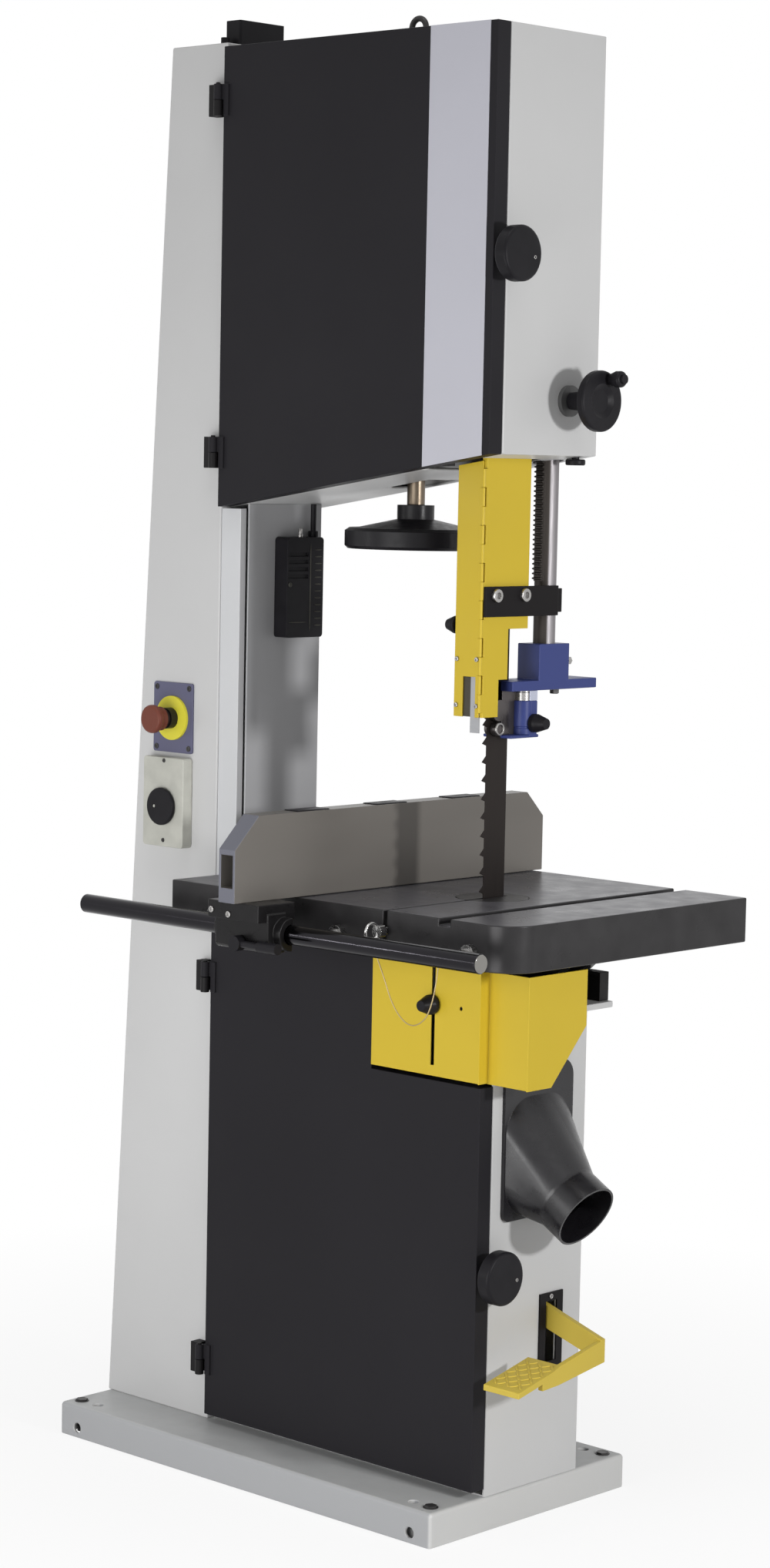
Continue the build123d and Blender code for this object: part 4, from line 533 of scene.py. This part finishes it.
def fitted(name, bm, finish, body):
    """Makes a shaped piece an object with clean normals and sets it on its body."""
    bmesh.ops.recalc_face_normals(bm, faces=bm.faces)
    mesh = bpy.data.meshes.new(name)
    bm.to_mesh(mesh)
    bm.free()
    mesh.shade_smooth()
    mesh.set_sharp_from_angle(angle=math.radians(32.0))
    mesh.materials.append(finish)
    piece = bpy.data.objects.new(name, mesh)
    bpy.context.scene.collection.objects.link(piece)
    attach(piece, body)
    return piece


def socket_heads(name, places, along, radius, height, finish, body):
    """Screw heads with a rounded rim and a sunk socket, all of one kind as one piece."""
    bm = bmesh.new()
    rim = radius * 0.16
    socket_radius, socket_floor = radius * 0.5, height * 0.4
    profile = ((0.0, socket_floor), (socket_radius, socket_floor), (socket_radius, height),
               (radius - rim, height), (radius - rim * 0.3, height - rim * 0.3),
               (radius, height - rim), (radius, 0.0), (0.0, 0.0))
    for place in places:
        turned(bm, profile, place, along)
    return fitted(name, bm, finish, body)


to_front, to_right, to_back, upward, downward = (0, -1, 0), (1, 0, 0), (0, 1, 0), (0, 0, 1), (0, 0, -1)
bright_steel = drawn_steel("bright_steel", shade(170, 168, 166), roughness=0.26, stretch=(1.0, 1.0, 1.0))
front_plate_y = -0.075
guard_screw_spots = ((0.2617, 1.127), (0.2955, 1.1275), (0.2616, 1.0677), (0.2957, 1.0677))
socket_heads("guard_screws", [(x, front_plate_y, z) for x, z in guard_screw_spots], to_front,
             radius=0.0031, height=0.0022, finish=bright_steel, body="guard_front")
bar_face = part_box("guard_bar")[1][0]
bar_screw_spots = ((-0.0560, 1.2094), (-0.0013, 1.2095))
socket_heads("bar_screws", [(bar_face, y, z) for y, z in bar_screw_spots], to_right,
             radius=0.0088, height=0.005, finish=bright_steel, body="guide")

# ---------------------------------------------------------------- Blade guide
# A blue-painted bracket and fork plate clamp to the post. The guide bodies below carry
# pads beside the blade and a thrust disc behind it, locked by a black cone knob.
guide_blue = stoved_enamel("guide_blue", shade(54, 65, 122), roughness=0.36, spread=0.06,
                           peel=600.0, shine=0.25)
pad_metal, tree, shader, where = coating("pad_metal", shade(70, 66, 62), roughness=0.34,
                                         metal=0.8, shine=0.3)
cap_front, cap_full = 0.0159, 0.0161
pad_tone = two_tone(tree, along_axis(tree, where, "Y"), shade(88, 84, 84), shade(186, 190, 206),
                    cap_front, cap_full)
tree.links.new(pad_tone, shader.inputs["Base Color"])
pad_lines = cloud(tree, where, scale=160.0, detail=4.0, stretch=(1.0, 1.0, 0.1))
tree.links.new(between(tree, pad_lines, 0.22, 0.4), shader.inputs["Roughness"])
skin(tree, shader, cloud(tree, where, scale=500.0), strength=0.1, depth=0.0003)
softened("guide_bracket", "guide", guide_blue, width=0.0012)
softened("guide_pads", "guide", pad_metal, width=0.0004)
dress("guide_knob", knob_black)
sleeve_x, sleeve_y, sleeve_foot, cap_foot = 0.2945, 0.0175, 1.028, 1.072
bm = bmesh.new()
turned(bm, ((0.0, 0.0), (0.0132, 0.0), (0.0138, 0.0006), (0.0138, 0.0075), (0.0128, 0.0085),
            (0.0128, 0.0100), (0.0138, 0.0110), (0.0138, 0.0433), (0.0131, 0.0440), (0.0, 0.0440)),
       (sleeve_x, sleeve_y, sleeve_foot), upward, steps=40)
fitted("guide_sleeve", bm, guide_blue, "guide")
bm = bmesh.new()
turned(bm, ((0.0, 0.0), (0.0118, 0.0), (0.0118, 0.0105), (0.0110, 0.0112), (0.0110, 0.0128), (0.0, 0.0128)),
       (sleeve_x, sleeve_y, cap_foot), upward, steps=40)
fitted("guide_cap", bm, bright_steel, "guide")
pad_end = (0.2934, -0.026, 1.036)
bm = bmesh.new()
turned(bm, ((0.0056, 0.0), (0.0056, 0.0012), (0.0062, 0.0018), (0.0080, 0.0018), (0.0087, 0.0010),
            (0.0087, 0.0)), pad_end, to_right, steps=32)
fitted("pad_ring", bm, bright_steel, "guide")
hexagon = 6
nut_place = (0.3035, 0.0918, 1.122)
bm = bmesh.new()
turned(bm, ((0.0, 0.0075), (0.0042, 0.0075), (0.0055, 0.0066), (0.0055, 0.0), (0.0, 0.0)),
       nut_place, to_back, steps=hexagon)
fitted("block_nut", bm, bright_steel, "guide")
bolt_place = (0.293, 0.082, 1.0852)
bm = bmesh.new()
turned(bm, ((0.0, 0.007), (0.0052, 0.007), (0.0064, 0.0062), (0.0064, 0.001), (0.0078, 0.001),
            (0.0078, 0.0), (0.0, 0.0)), bolt_place, downward, steps=hexagon)
fitted("plate_bolt", bm, screw_black, "guide")

# ---------------------------------------------------------------- Table and tilt
# A ribbed cast iron table with a planed top, its sides painted dark grey. It tilts on
# two half-moon segments that slide in saddles; a round insert closes the blade hole.
table_iron, tree, shader, where = coating("table_iron", shade(50, 49, 50), roughness=0.42,
                                          metal=0.3, shine=0.2)
planed_share = between(tree, along_axis(tree, facing(tree), "Z"), low=0.0, high=1.0, start=0.9, end=0.97)
cast_tone = two_tone(tree, cloud(tree, where, scale=22.0, detail=5.0), shade(44, 43, 44), shade(54, 53, 54))
table_lines = cloud(tree, where, scale=260.0, detail=4.0, stretch=(0.04, 1.0, 1.0))
planed_tone = two_tone(tree, table_lines, shade(82, 81, 86), shade(92, 91, 96))
tree.links.new(laid_over(tree, planed_share, cast_tone, planed_tone), shader.inputs["Base Color"])
table_gloss = between(tree, cloud(tree, where, scale=35.0, detail=4.0), 0.26, 0.38)
tree.links.new(table_gloss, shader.inputs["Roughness"])
skin(tree, shader, cloud(tree, where, scale=420.0, detail=3.0), strength=0.1, depth=0.0004)
softened("table", "table", table_iron, width=0.0018)
softened("tilt_segments", "table", table_iron, width=0.0008)
insert_metal = drawn_steel("insert_metal", shade(70, 69, 70), roughness=0.4, stretch=(0.1, 1.0, 1.0))
softened("table_insert", "table", insert_metal, width=0.0004)
saddle_black = casting("saddle_black", shade(34, 33, 33), roughness=0.5, metal=0.2)
softened("tilt_saddles", "frame", saddle_black, width=0.0008)

# ---------------------------------------------------------------- Rail, studs and levelling pin
# A polished dark steel rail stands off the table on studs. A pin with a pull ring keeps
# the table's slit level, tied by a thin wire that hangs in a loop from the ring.
rail_steel, tree, shader, where = coating("rail_steel", shade(46, 45, 48), roughness=0.16, metal=1.0)
rail_end, rail_cut = 0.4988, 0.4992
rail_tone = two_tone(tree, along_axis(tree, where, "X"), shade(46, 45, 48), shade(140, 138, 134),
                     rail_end, rail_cut)
tree.links.new(rail_tone, shader.inputs["Base Color"])
rail_lines = cloud(tree, where, scale=500.0, detail=4.0, stretch=(0.06, 1.0, 1.0))
tree.links.new(between(tree, rail_lines, 0.1, 0.2), shader.inputs["Roughness"])
skin(tree, shader, rail_lines, strength=0.08, depth=0.0002, edge=0.0008)
stud_steel = drawn_steel("stud_steel", shade(176, 175, 174), roughness=0.24, stretch=(1.0, 0.1, 1.0))
dress("fence_rail", rail_steel)
dress("table_studs", stud_steel)

wire_steel = drawn_steel("wire_steel", shade(176, 156, 110), roughness=0.4,
                         stretch=(1.0, 1.0, 1.0), metal=0.5)
wire_radius = 0.0008
wire_route = ((0.284, -0.249, 0.7763), (0.298, -0.245, 0.746), (0.317, -0.241, 0.694),
              (0.350, -0.240, 0.673), (0.383, -0.239, 0.703), (0.384, -0.233, 0.7624))
wire_curve = bpy.data.curves.new("pin_wire", "CURVE")
wire_curve.dimensions = "3D"
wire_line = wire_curve.splines.new("NURBS")
wire_line.points.add(len(wire_route) - 1)
for point, place in zip(wire_line.points, wire_route):
    point.co = (*place, 1.0)
wire_line.order_u = 3
wire_line.use_endpoint_u = True
wire_line.resolution_u = 16
wire_curve.bevel_depth = wire_radius
wire_curve.bevel_resolution = 3
wire_curve.use_fill_caps = True
wire_curve.materials.append(wire_steel)
pin_wire = bpy.data.objects.new("pin_wire", wire_curve)
bpy.context.scene.collection.objects.link(pin_wire)
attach(pin_wire, "table")
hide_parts("pin_lanyard")

# ---------------------------------------------------------------- Fence
# A hollow aluminium extrusion with chamfered ends, brushed along its length, carried on
# a black cast carriage that grips the rail. The lever under it locks the carriage.
fence_metal, tree, shader, where = coating("fence_metal", shade(118, 114, 109), roughness=0.3,
                                           metal=0.2, shine=0.2)
fence_drift = cloud(tree, where, scale=9.0, detail=2.0, stretch=(1.0, 0.3, 1.0))
fence_side = two_tone(tree, fence_drift, shade(112, 108, 103), shade(121, 117, 112))
end_share = between(tree, along_axis(tree, facing(tree), "Y"), low=1.0, high=0.0, start=-0.5, end=-0.3)
tree.links.new(laid_over(tree, end_share, fence_side, shade(104, 105, 114)), shader.inputs["Base Color"])
tree.links.new(between(tree, fence_drift, 0.28, 0.36), shader.inputs["Roughness"])
fence_lines = cloud(tree, where, scale=1500.0, detail=2.0, stretch=(1.0, 0.05, 1.0))
skin(tree, shader, fence_lines, strength=0.02, depth=0.0001, edge=0.0005)
carriage_black = casting("carriage_black", shade(27, 26, 27), roughness=0.32, metal=0.2)
softened("fence", "fence", fence_metal, width=0.0009)
softened("fence_carriage", "fence", carriage_black, width=0.0012,
         split=lambda normal: abs(normal.y) > 0.9)
dress("fence_lever", knob_black)
fence_low, fence_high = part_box("fence")
clip_inset, clip_sink, clip_rise, clip_round = 0.004, 0.0002, 0.0016, 0.0012
bm = bmesh.new()
for clip_start, clip_end in ((-0.228, -0.170), (-0.081, -0.0225), (0.067, 0.123)):
    made = bmesh.ops.create_grid(bm, x_segments=1, y_segments=1, size=0.5)
    clip_size = Matrix.Diagonal((fence_high[0] - fence_low[0] - clip_inset, clip_end - clip_start, 1.0, 1.0))
    clip_middle = ((fence_low[0] + fence_high[0]) / 2, (clip_start + clip_end) / 2, fence_high[2] - clip_sink)
    bmesh.ops.transform(bm, matrix=Matrix.Translation(clip_middle) @ clip_size, verts=made["verts"])
    foot = list({face for vert in made["verts"] for face in vert.link_faces})
    raised = bmesh.ops.extrude_face_region(bm, geom=foot, use_keep_orig=True)
    top = [item for item in raised["geom"] if isinstance(item, bmesh.types.BMVert)]
    bmesh.ops.translate(bm, vec=(0.0, 0.0, clip_rise), verts=top)
    rim = [item for item in raised["geom"] if isinstance(item, bmesh.types.BMEdge)]
    bmesh.ops.bevel(bm, geom=rim, offset=clip_round, offset_type="OFFSET", affect="EDGES",
                    segments=3, profile=0.5, material=-1)
fitted("fence_clips", bm, knob_black, "fence")
shelf_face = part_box("fence_carriage")[0][1]
pin_spots = ((0.079, 0.8045), (0.110, 0.801))
socket_heads("carriage_pins", [(x, shelf_face, z) for x, z in pin_spots], to_front,
             radius=0.0042, height=0.002, finish=bright_steel, body="fence")

# ---------------------------------------------------------------- Lower guard
# Folded yellow sheet round the blade below the table, with a slit for changing the
# blade. A black clamping knob holds its front plate.
softened("lower_guard", "frame", guard_yellow, width=0.0006)
dress("lower_guard_knob", knob_black)

# ---------------------------------------------------------------- Dust port
# A black moulded hood on the right of the lower cabinet, drawn down into a round mouth
# for a hose.
port_black = moulded("port_black", shade(22, 21, 24), roughness=0.3,
                     grain=900.0, grain_strength=0.04, shine=0.45)
dress("dust_port", port_black)

# ---------------------------------------------------------------- Foot brake
# A bent steel bar with a chequered tread, painted yellow and worn by boots. It passes
# through a black slot plate on the right of the lower cabinet.
pedal_yellow = stoved_enamel("pedal_yellow", shade(202, 178, 70), roughness=0.45, spread=0.12,
                             peel_strength=0.2, shine=0.3)
softened("brake_pedal", "brake_pedal", pedal_yellow, width=0.0009)


def raised_pad(bm, place, long, wide, rise):
    """A low lens-shaped pad with sloping flanks, long along its own x and raised along z."""
    base = bmesh.ops.create_circle(bm, cap_ends=True, segments=10, radius=0.5,
                                   matrix=place @ Matrix.Diagonal((long, wide, 1.0, 1.0)))
    foot = list({face for vert in base["verts"] for face in vert.link_faces})
    raised = bmesh.ops.extrude_face_region(bm, geom=foot, use_keep_orig=True)
    crown = [item for item in raised["geom"] if isinstance(item, bmesh.types.BMVert)]
    narrower = Matrix.Translation((0.0, 0.0, rise)) @ Matrix.Diagonal((0.9, 0.6, 1.0, 1.0))
    bmesh.ops.transform(bm, matrix=place @ narrower @ place.inverted(), verts=crown)


tread_inner = Vector((0.420, -0.052, 0.2318))
tread_outer = Vector((0.420, -0.138, 0.2118))
tread_down = (tread_outer - tread_inner).normalized()
tread_across = Vector((1.0, 0.0, 0.0))
tread_up = tread_down.cross(tread_across)
tread_plane = Matrix((tread_across, -tread_down, tread_up)).transposed().to_4x4()
pad_rows, pad_columns = 7, 5
pad_margin, pad_pitch = 0.012, 0.0105
pad_long, pad_wide, pad_rise = 0.0118, 0.0034, 0.0012
bm = bmesh.new()
for row in range(pad_rows):
    for column in range(pad_columns):
        down_by = pad_margin + row * pad_pitch
        across_by = (column - pad_columns // 2) * pad_pitch
        middle = Matrix.Translation(tread_inner + tread_down * down_by + tread_across * across_by)
        slant = Matrix.Rotation(math.radians(45.0 if (row + column) % 2 else -45.0), 4, "Z")
        raised_pad(bm, middle @ tread_plane @ slant, pad_long, pad_wide, pad_rise)
fitted("tread_pads", bm, pedal_yellow, "brake_pedal")
dress("pedal_slot_plate", bar_black)
slot_screw_place = (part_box("pedal_slot_plate")[1][0], 0.0291, 0.292)
socket_heads("slot_plate_screw", (slot_screw_place,), to_right,
             radius=0.0034, height=0.0016, finish=bright_steel, body="frame")

# ---------------------------------------------------------------- Emergency stop and switch
# A red mushroom button with a yellow ring on a dark blue plate, and below it a pale
# plastic box with a black rotary switch. Both are screwed to the column's front.
plate_navy = stoved_enamel("plate_navy", shade(92, 92, 116), roughness=0.4, spread=0.06, shine=0.25)
ring_yellow, tree, shader, where = coating("ring_yellow", shade(218, 209, 66), roughness=0.42, shine=0.25)
collar_start, ring_start = -0.1114, -0.1111
ring_tone = two_tone(tree, along_axis(tree, where, "Y"), shade(26, 23, 22), shade(218, 209, 66),
                     collar_start, ring_start)
tree.links.new(ring_tone, shader.inputs["Base Color"])
tree.links.new(between(tree, cloud(tree, where, scale=90.0), 0.36, 0.48), shader.inputs["Roughness"])
skin(tree, shader, cloud(tree, where, scale=1200.0), strength=0.1, depth=0.0003)
box_ivory = moulded("box_ivory", shade(174, 174, 166), roughness=0.42,
                    grain=1200.0, grain_strength=0.15, shine=0.3)
mushroom_red, tree, shader, where = coating("mushroom_red", shade(106, 55, 42), roughness=0.42, shine=0.25)
# The stem between the ring and the mushroom head is painted near black: painted shade, for the shade under
# the head.
stem_start, stem_full = -0.1315, -0.1309
button_with_painted_stem_shade = two_tone(tree, along_axis(tree, where, "Y"), shade(106, 55, 42), shade(38, 30, 28),
                       stem_start, stem_full)
tree.links.new(button_with_painted_stem_shade, shader.inputs["Base Color"])
button_gloss = between(tree, cloud(tree, where, scale=80.0, detail=4.0), 0.36, 0.5)
tree.links.new(button_gloss, shader.inputs["Roughness"])
skin(tree, shader, cloud(tree, where, scale=1200.0), strength=0.12, depth=0.0003)
softened("estop_plate", "frame", plate_navy, width=0.0006)
dress("estop_ring", ring_yellow)
dress("estop_button", mushroom_red)
softened("switch_box", "frame", box_ivory, width=0.0012)
dress("switch_knob", knob_black)
plate_low, plate_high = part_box("estop_plate")
plate_inset = 0.007
plate_screws = [(x, plate_low[1], z) for x in (plate_low[0] + plate_inset, plate_high[0] - plate_inset)
                for z in (plate_low[2] + plate_inset, plate_high[2] - plate_inset)]
socket_heads("estop_plate_screws", plate_screws, to_front, radius=0.004, height=0.0012,
             finish=screw_black, body="frame")
box_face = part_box("switch_box")[0][1]
box_screw_x = -0.2367
socket_heads("switch_box_screws", [(box_screw_x, box_face, z) for z in (0.9605, 0.8500)], to_front,
             radius=0.003, height=0.0008, finish=screw_black, body="frame")
knob_low, knob_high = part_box("switch_knob")
mark_aside, mark_sink = 0.011, 0.001
mark_place = ((knob_low[0] + knob_high[0]) / 2 - mark_aside, knob_low[1] + mark_sink,
              (knob_low[2] + knob_high[2]) / 2)
bm = bmesh.new()
turned(bm, ((0.0, 0.0009), (0.0016, 0.0009), (0.0022, 0.0004), (0.0022, 0.0), (0.0, 0.0)),
       mark_place, to_front)
fitted("switch_mark", bm, box_ivory, "switch_knob")

# ---------------------------------------------------------------- Electric boxes
# A limit switch on top of the column, a louvred box in the throat and a short cable
# above it, all in black plastic. Ribs and a vent pattern are moulded on the box's side.
softened("electric_boxes", "frame", knob_black, width=0.0006)
box_side = -0.0881
rib_wide, louvre_wide, rib_rise = 0.0022, 0.0026, 0.0010
louvre_count, louvre_first, louvre_pitch = 12, 1.1515, 0.0094
side_plane = Matrix(((0, 0, 1), (1, 0, 0), (0, 1, 0))).to_4x4()
upright = Matrix.Rotation(math.radians(90.0), 4, "Z")
bm = bmesh.new()
tall_rib = Matrix.Translation((box_side, 0.0085, 1.2035)) @ side_plane @ upright
raised_pad(bm, tall_rib, long=0.128, wide=rib_wide, rise=rib_rise)
low_rib = Matrix.Translation((box_side, -0.015, 1.156)) @ side_plane
raised_pad(bm, low_rib, long=0.036, wide=rib_wide, rise=rib_rise)
for step in range(louvre_count):
    louvre = Matrix.Translation((box_side, 0.0235, louvre_first + step * louvre_pitch)) @ side_plane
    raised_pad(bm, louvre, long=0.014, wide=louvre_wide, rise=rib_rise)
button_place = (box_side, -0.0305, 1.2075)
turned(bm, ((0.0, 0.0018), (0.0024, 0.0018), (0.0034, 0.0008), (0.0034, 0.0), (0.0, 0.0)),
       button_place, to_right, steps=16)
# The ribs, louvres and button are a lighter grey than the black box: a painted highlight for the light the
# raised mouldings catch.
rib_highlight_grey = moulded("rib_highlight_grey", shade(66, 65, 61), roughness=0.5, shine=0.1)
fitted("box_ribs", bm, rib_highlight_grey, "frame")
gland_place = (-0.0985, -0.002, 1.2718)
bm = bmesh.new()
turned(bm, ((0.0, 0.0120), (0.0022, 0.0120), (0.0026, 0.0112), (0.0026, 0.0042), (0.0036, 0.0036),
            (0.0036, 0.0), (0.0, 0.0)), gland_place, upward, steps=20)
fitted("cable_gland", bm, bright_steel, "frame")

# ---------------------------------------------------------------- Doors
# Folded pans of charcoal powder-coated sheet with their hinge halves. The upper door
# has a pale vertical band near its free edge. Round black knobs close both doors.
door_charcoal = stoved_enamel("door_charcoal", shade(39, 38, 41), roughness=0.45, spread=0.06,
                              peel=900.0, peel_strength=0.2, shine=0.06)
band_silver = stoved_enamel("band_silver", shade(190, 190, 199), roughness=0.42, spread=0.02,
                            peel=600.0, peel_strength=0.08, shine=0.3)
softened("upper_door", "upper_door", door_charcoal, width=0.0010)
softened("lower_door", "lower_door", door_charcoal, width=0.0010)
dress("door_band", band_silver)
pin_y, pin_below, pin_sink = -0.0835, 0.004, 0.0005
for node, knob_z in (("upper_door_knob", 1.638), ("lower_door_knob", 0.343)):
    dress(node, knob_black)
    pin_place = (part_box(node)[1][0] - pin_sink, pin_y, knob_z - pin_below)
    socket_heads(node + "_pin", (pin_place,), to_right, radius=0.0024, height=0.0012,
                 finish=bright_steel, body=node)
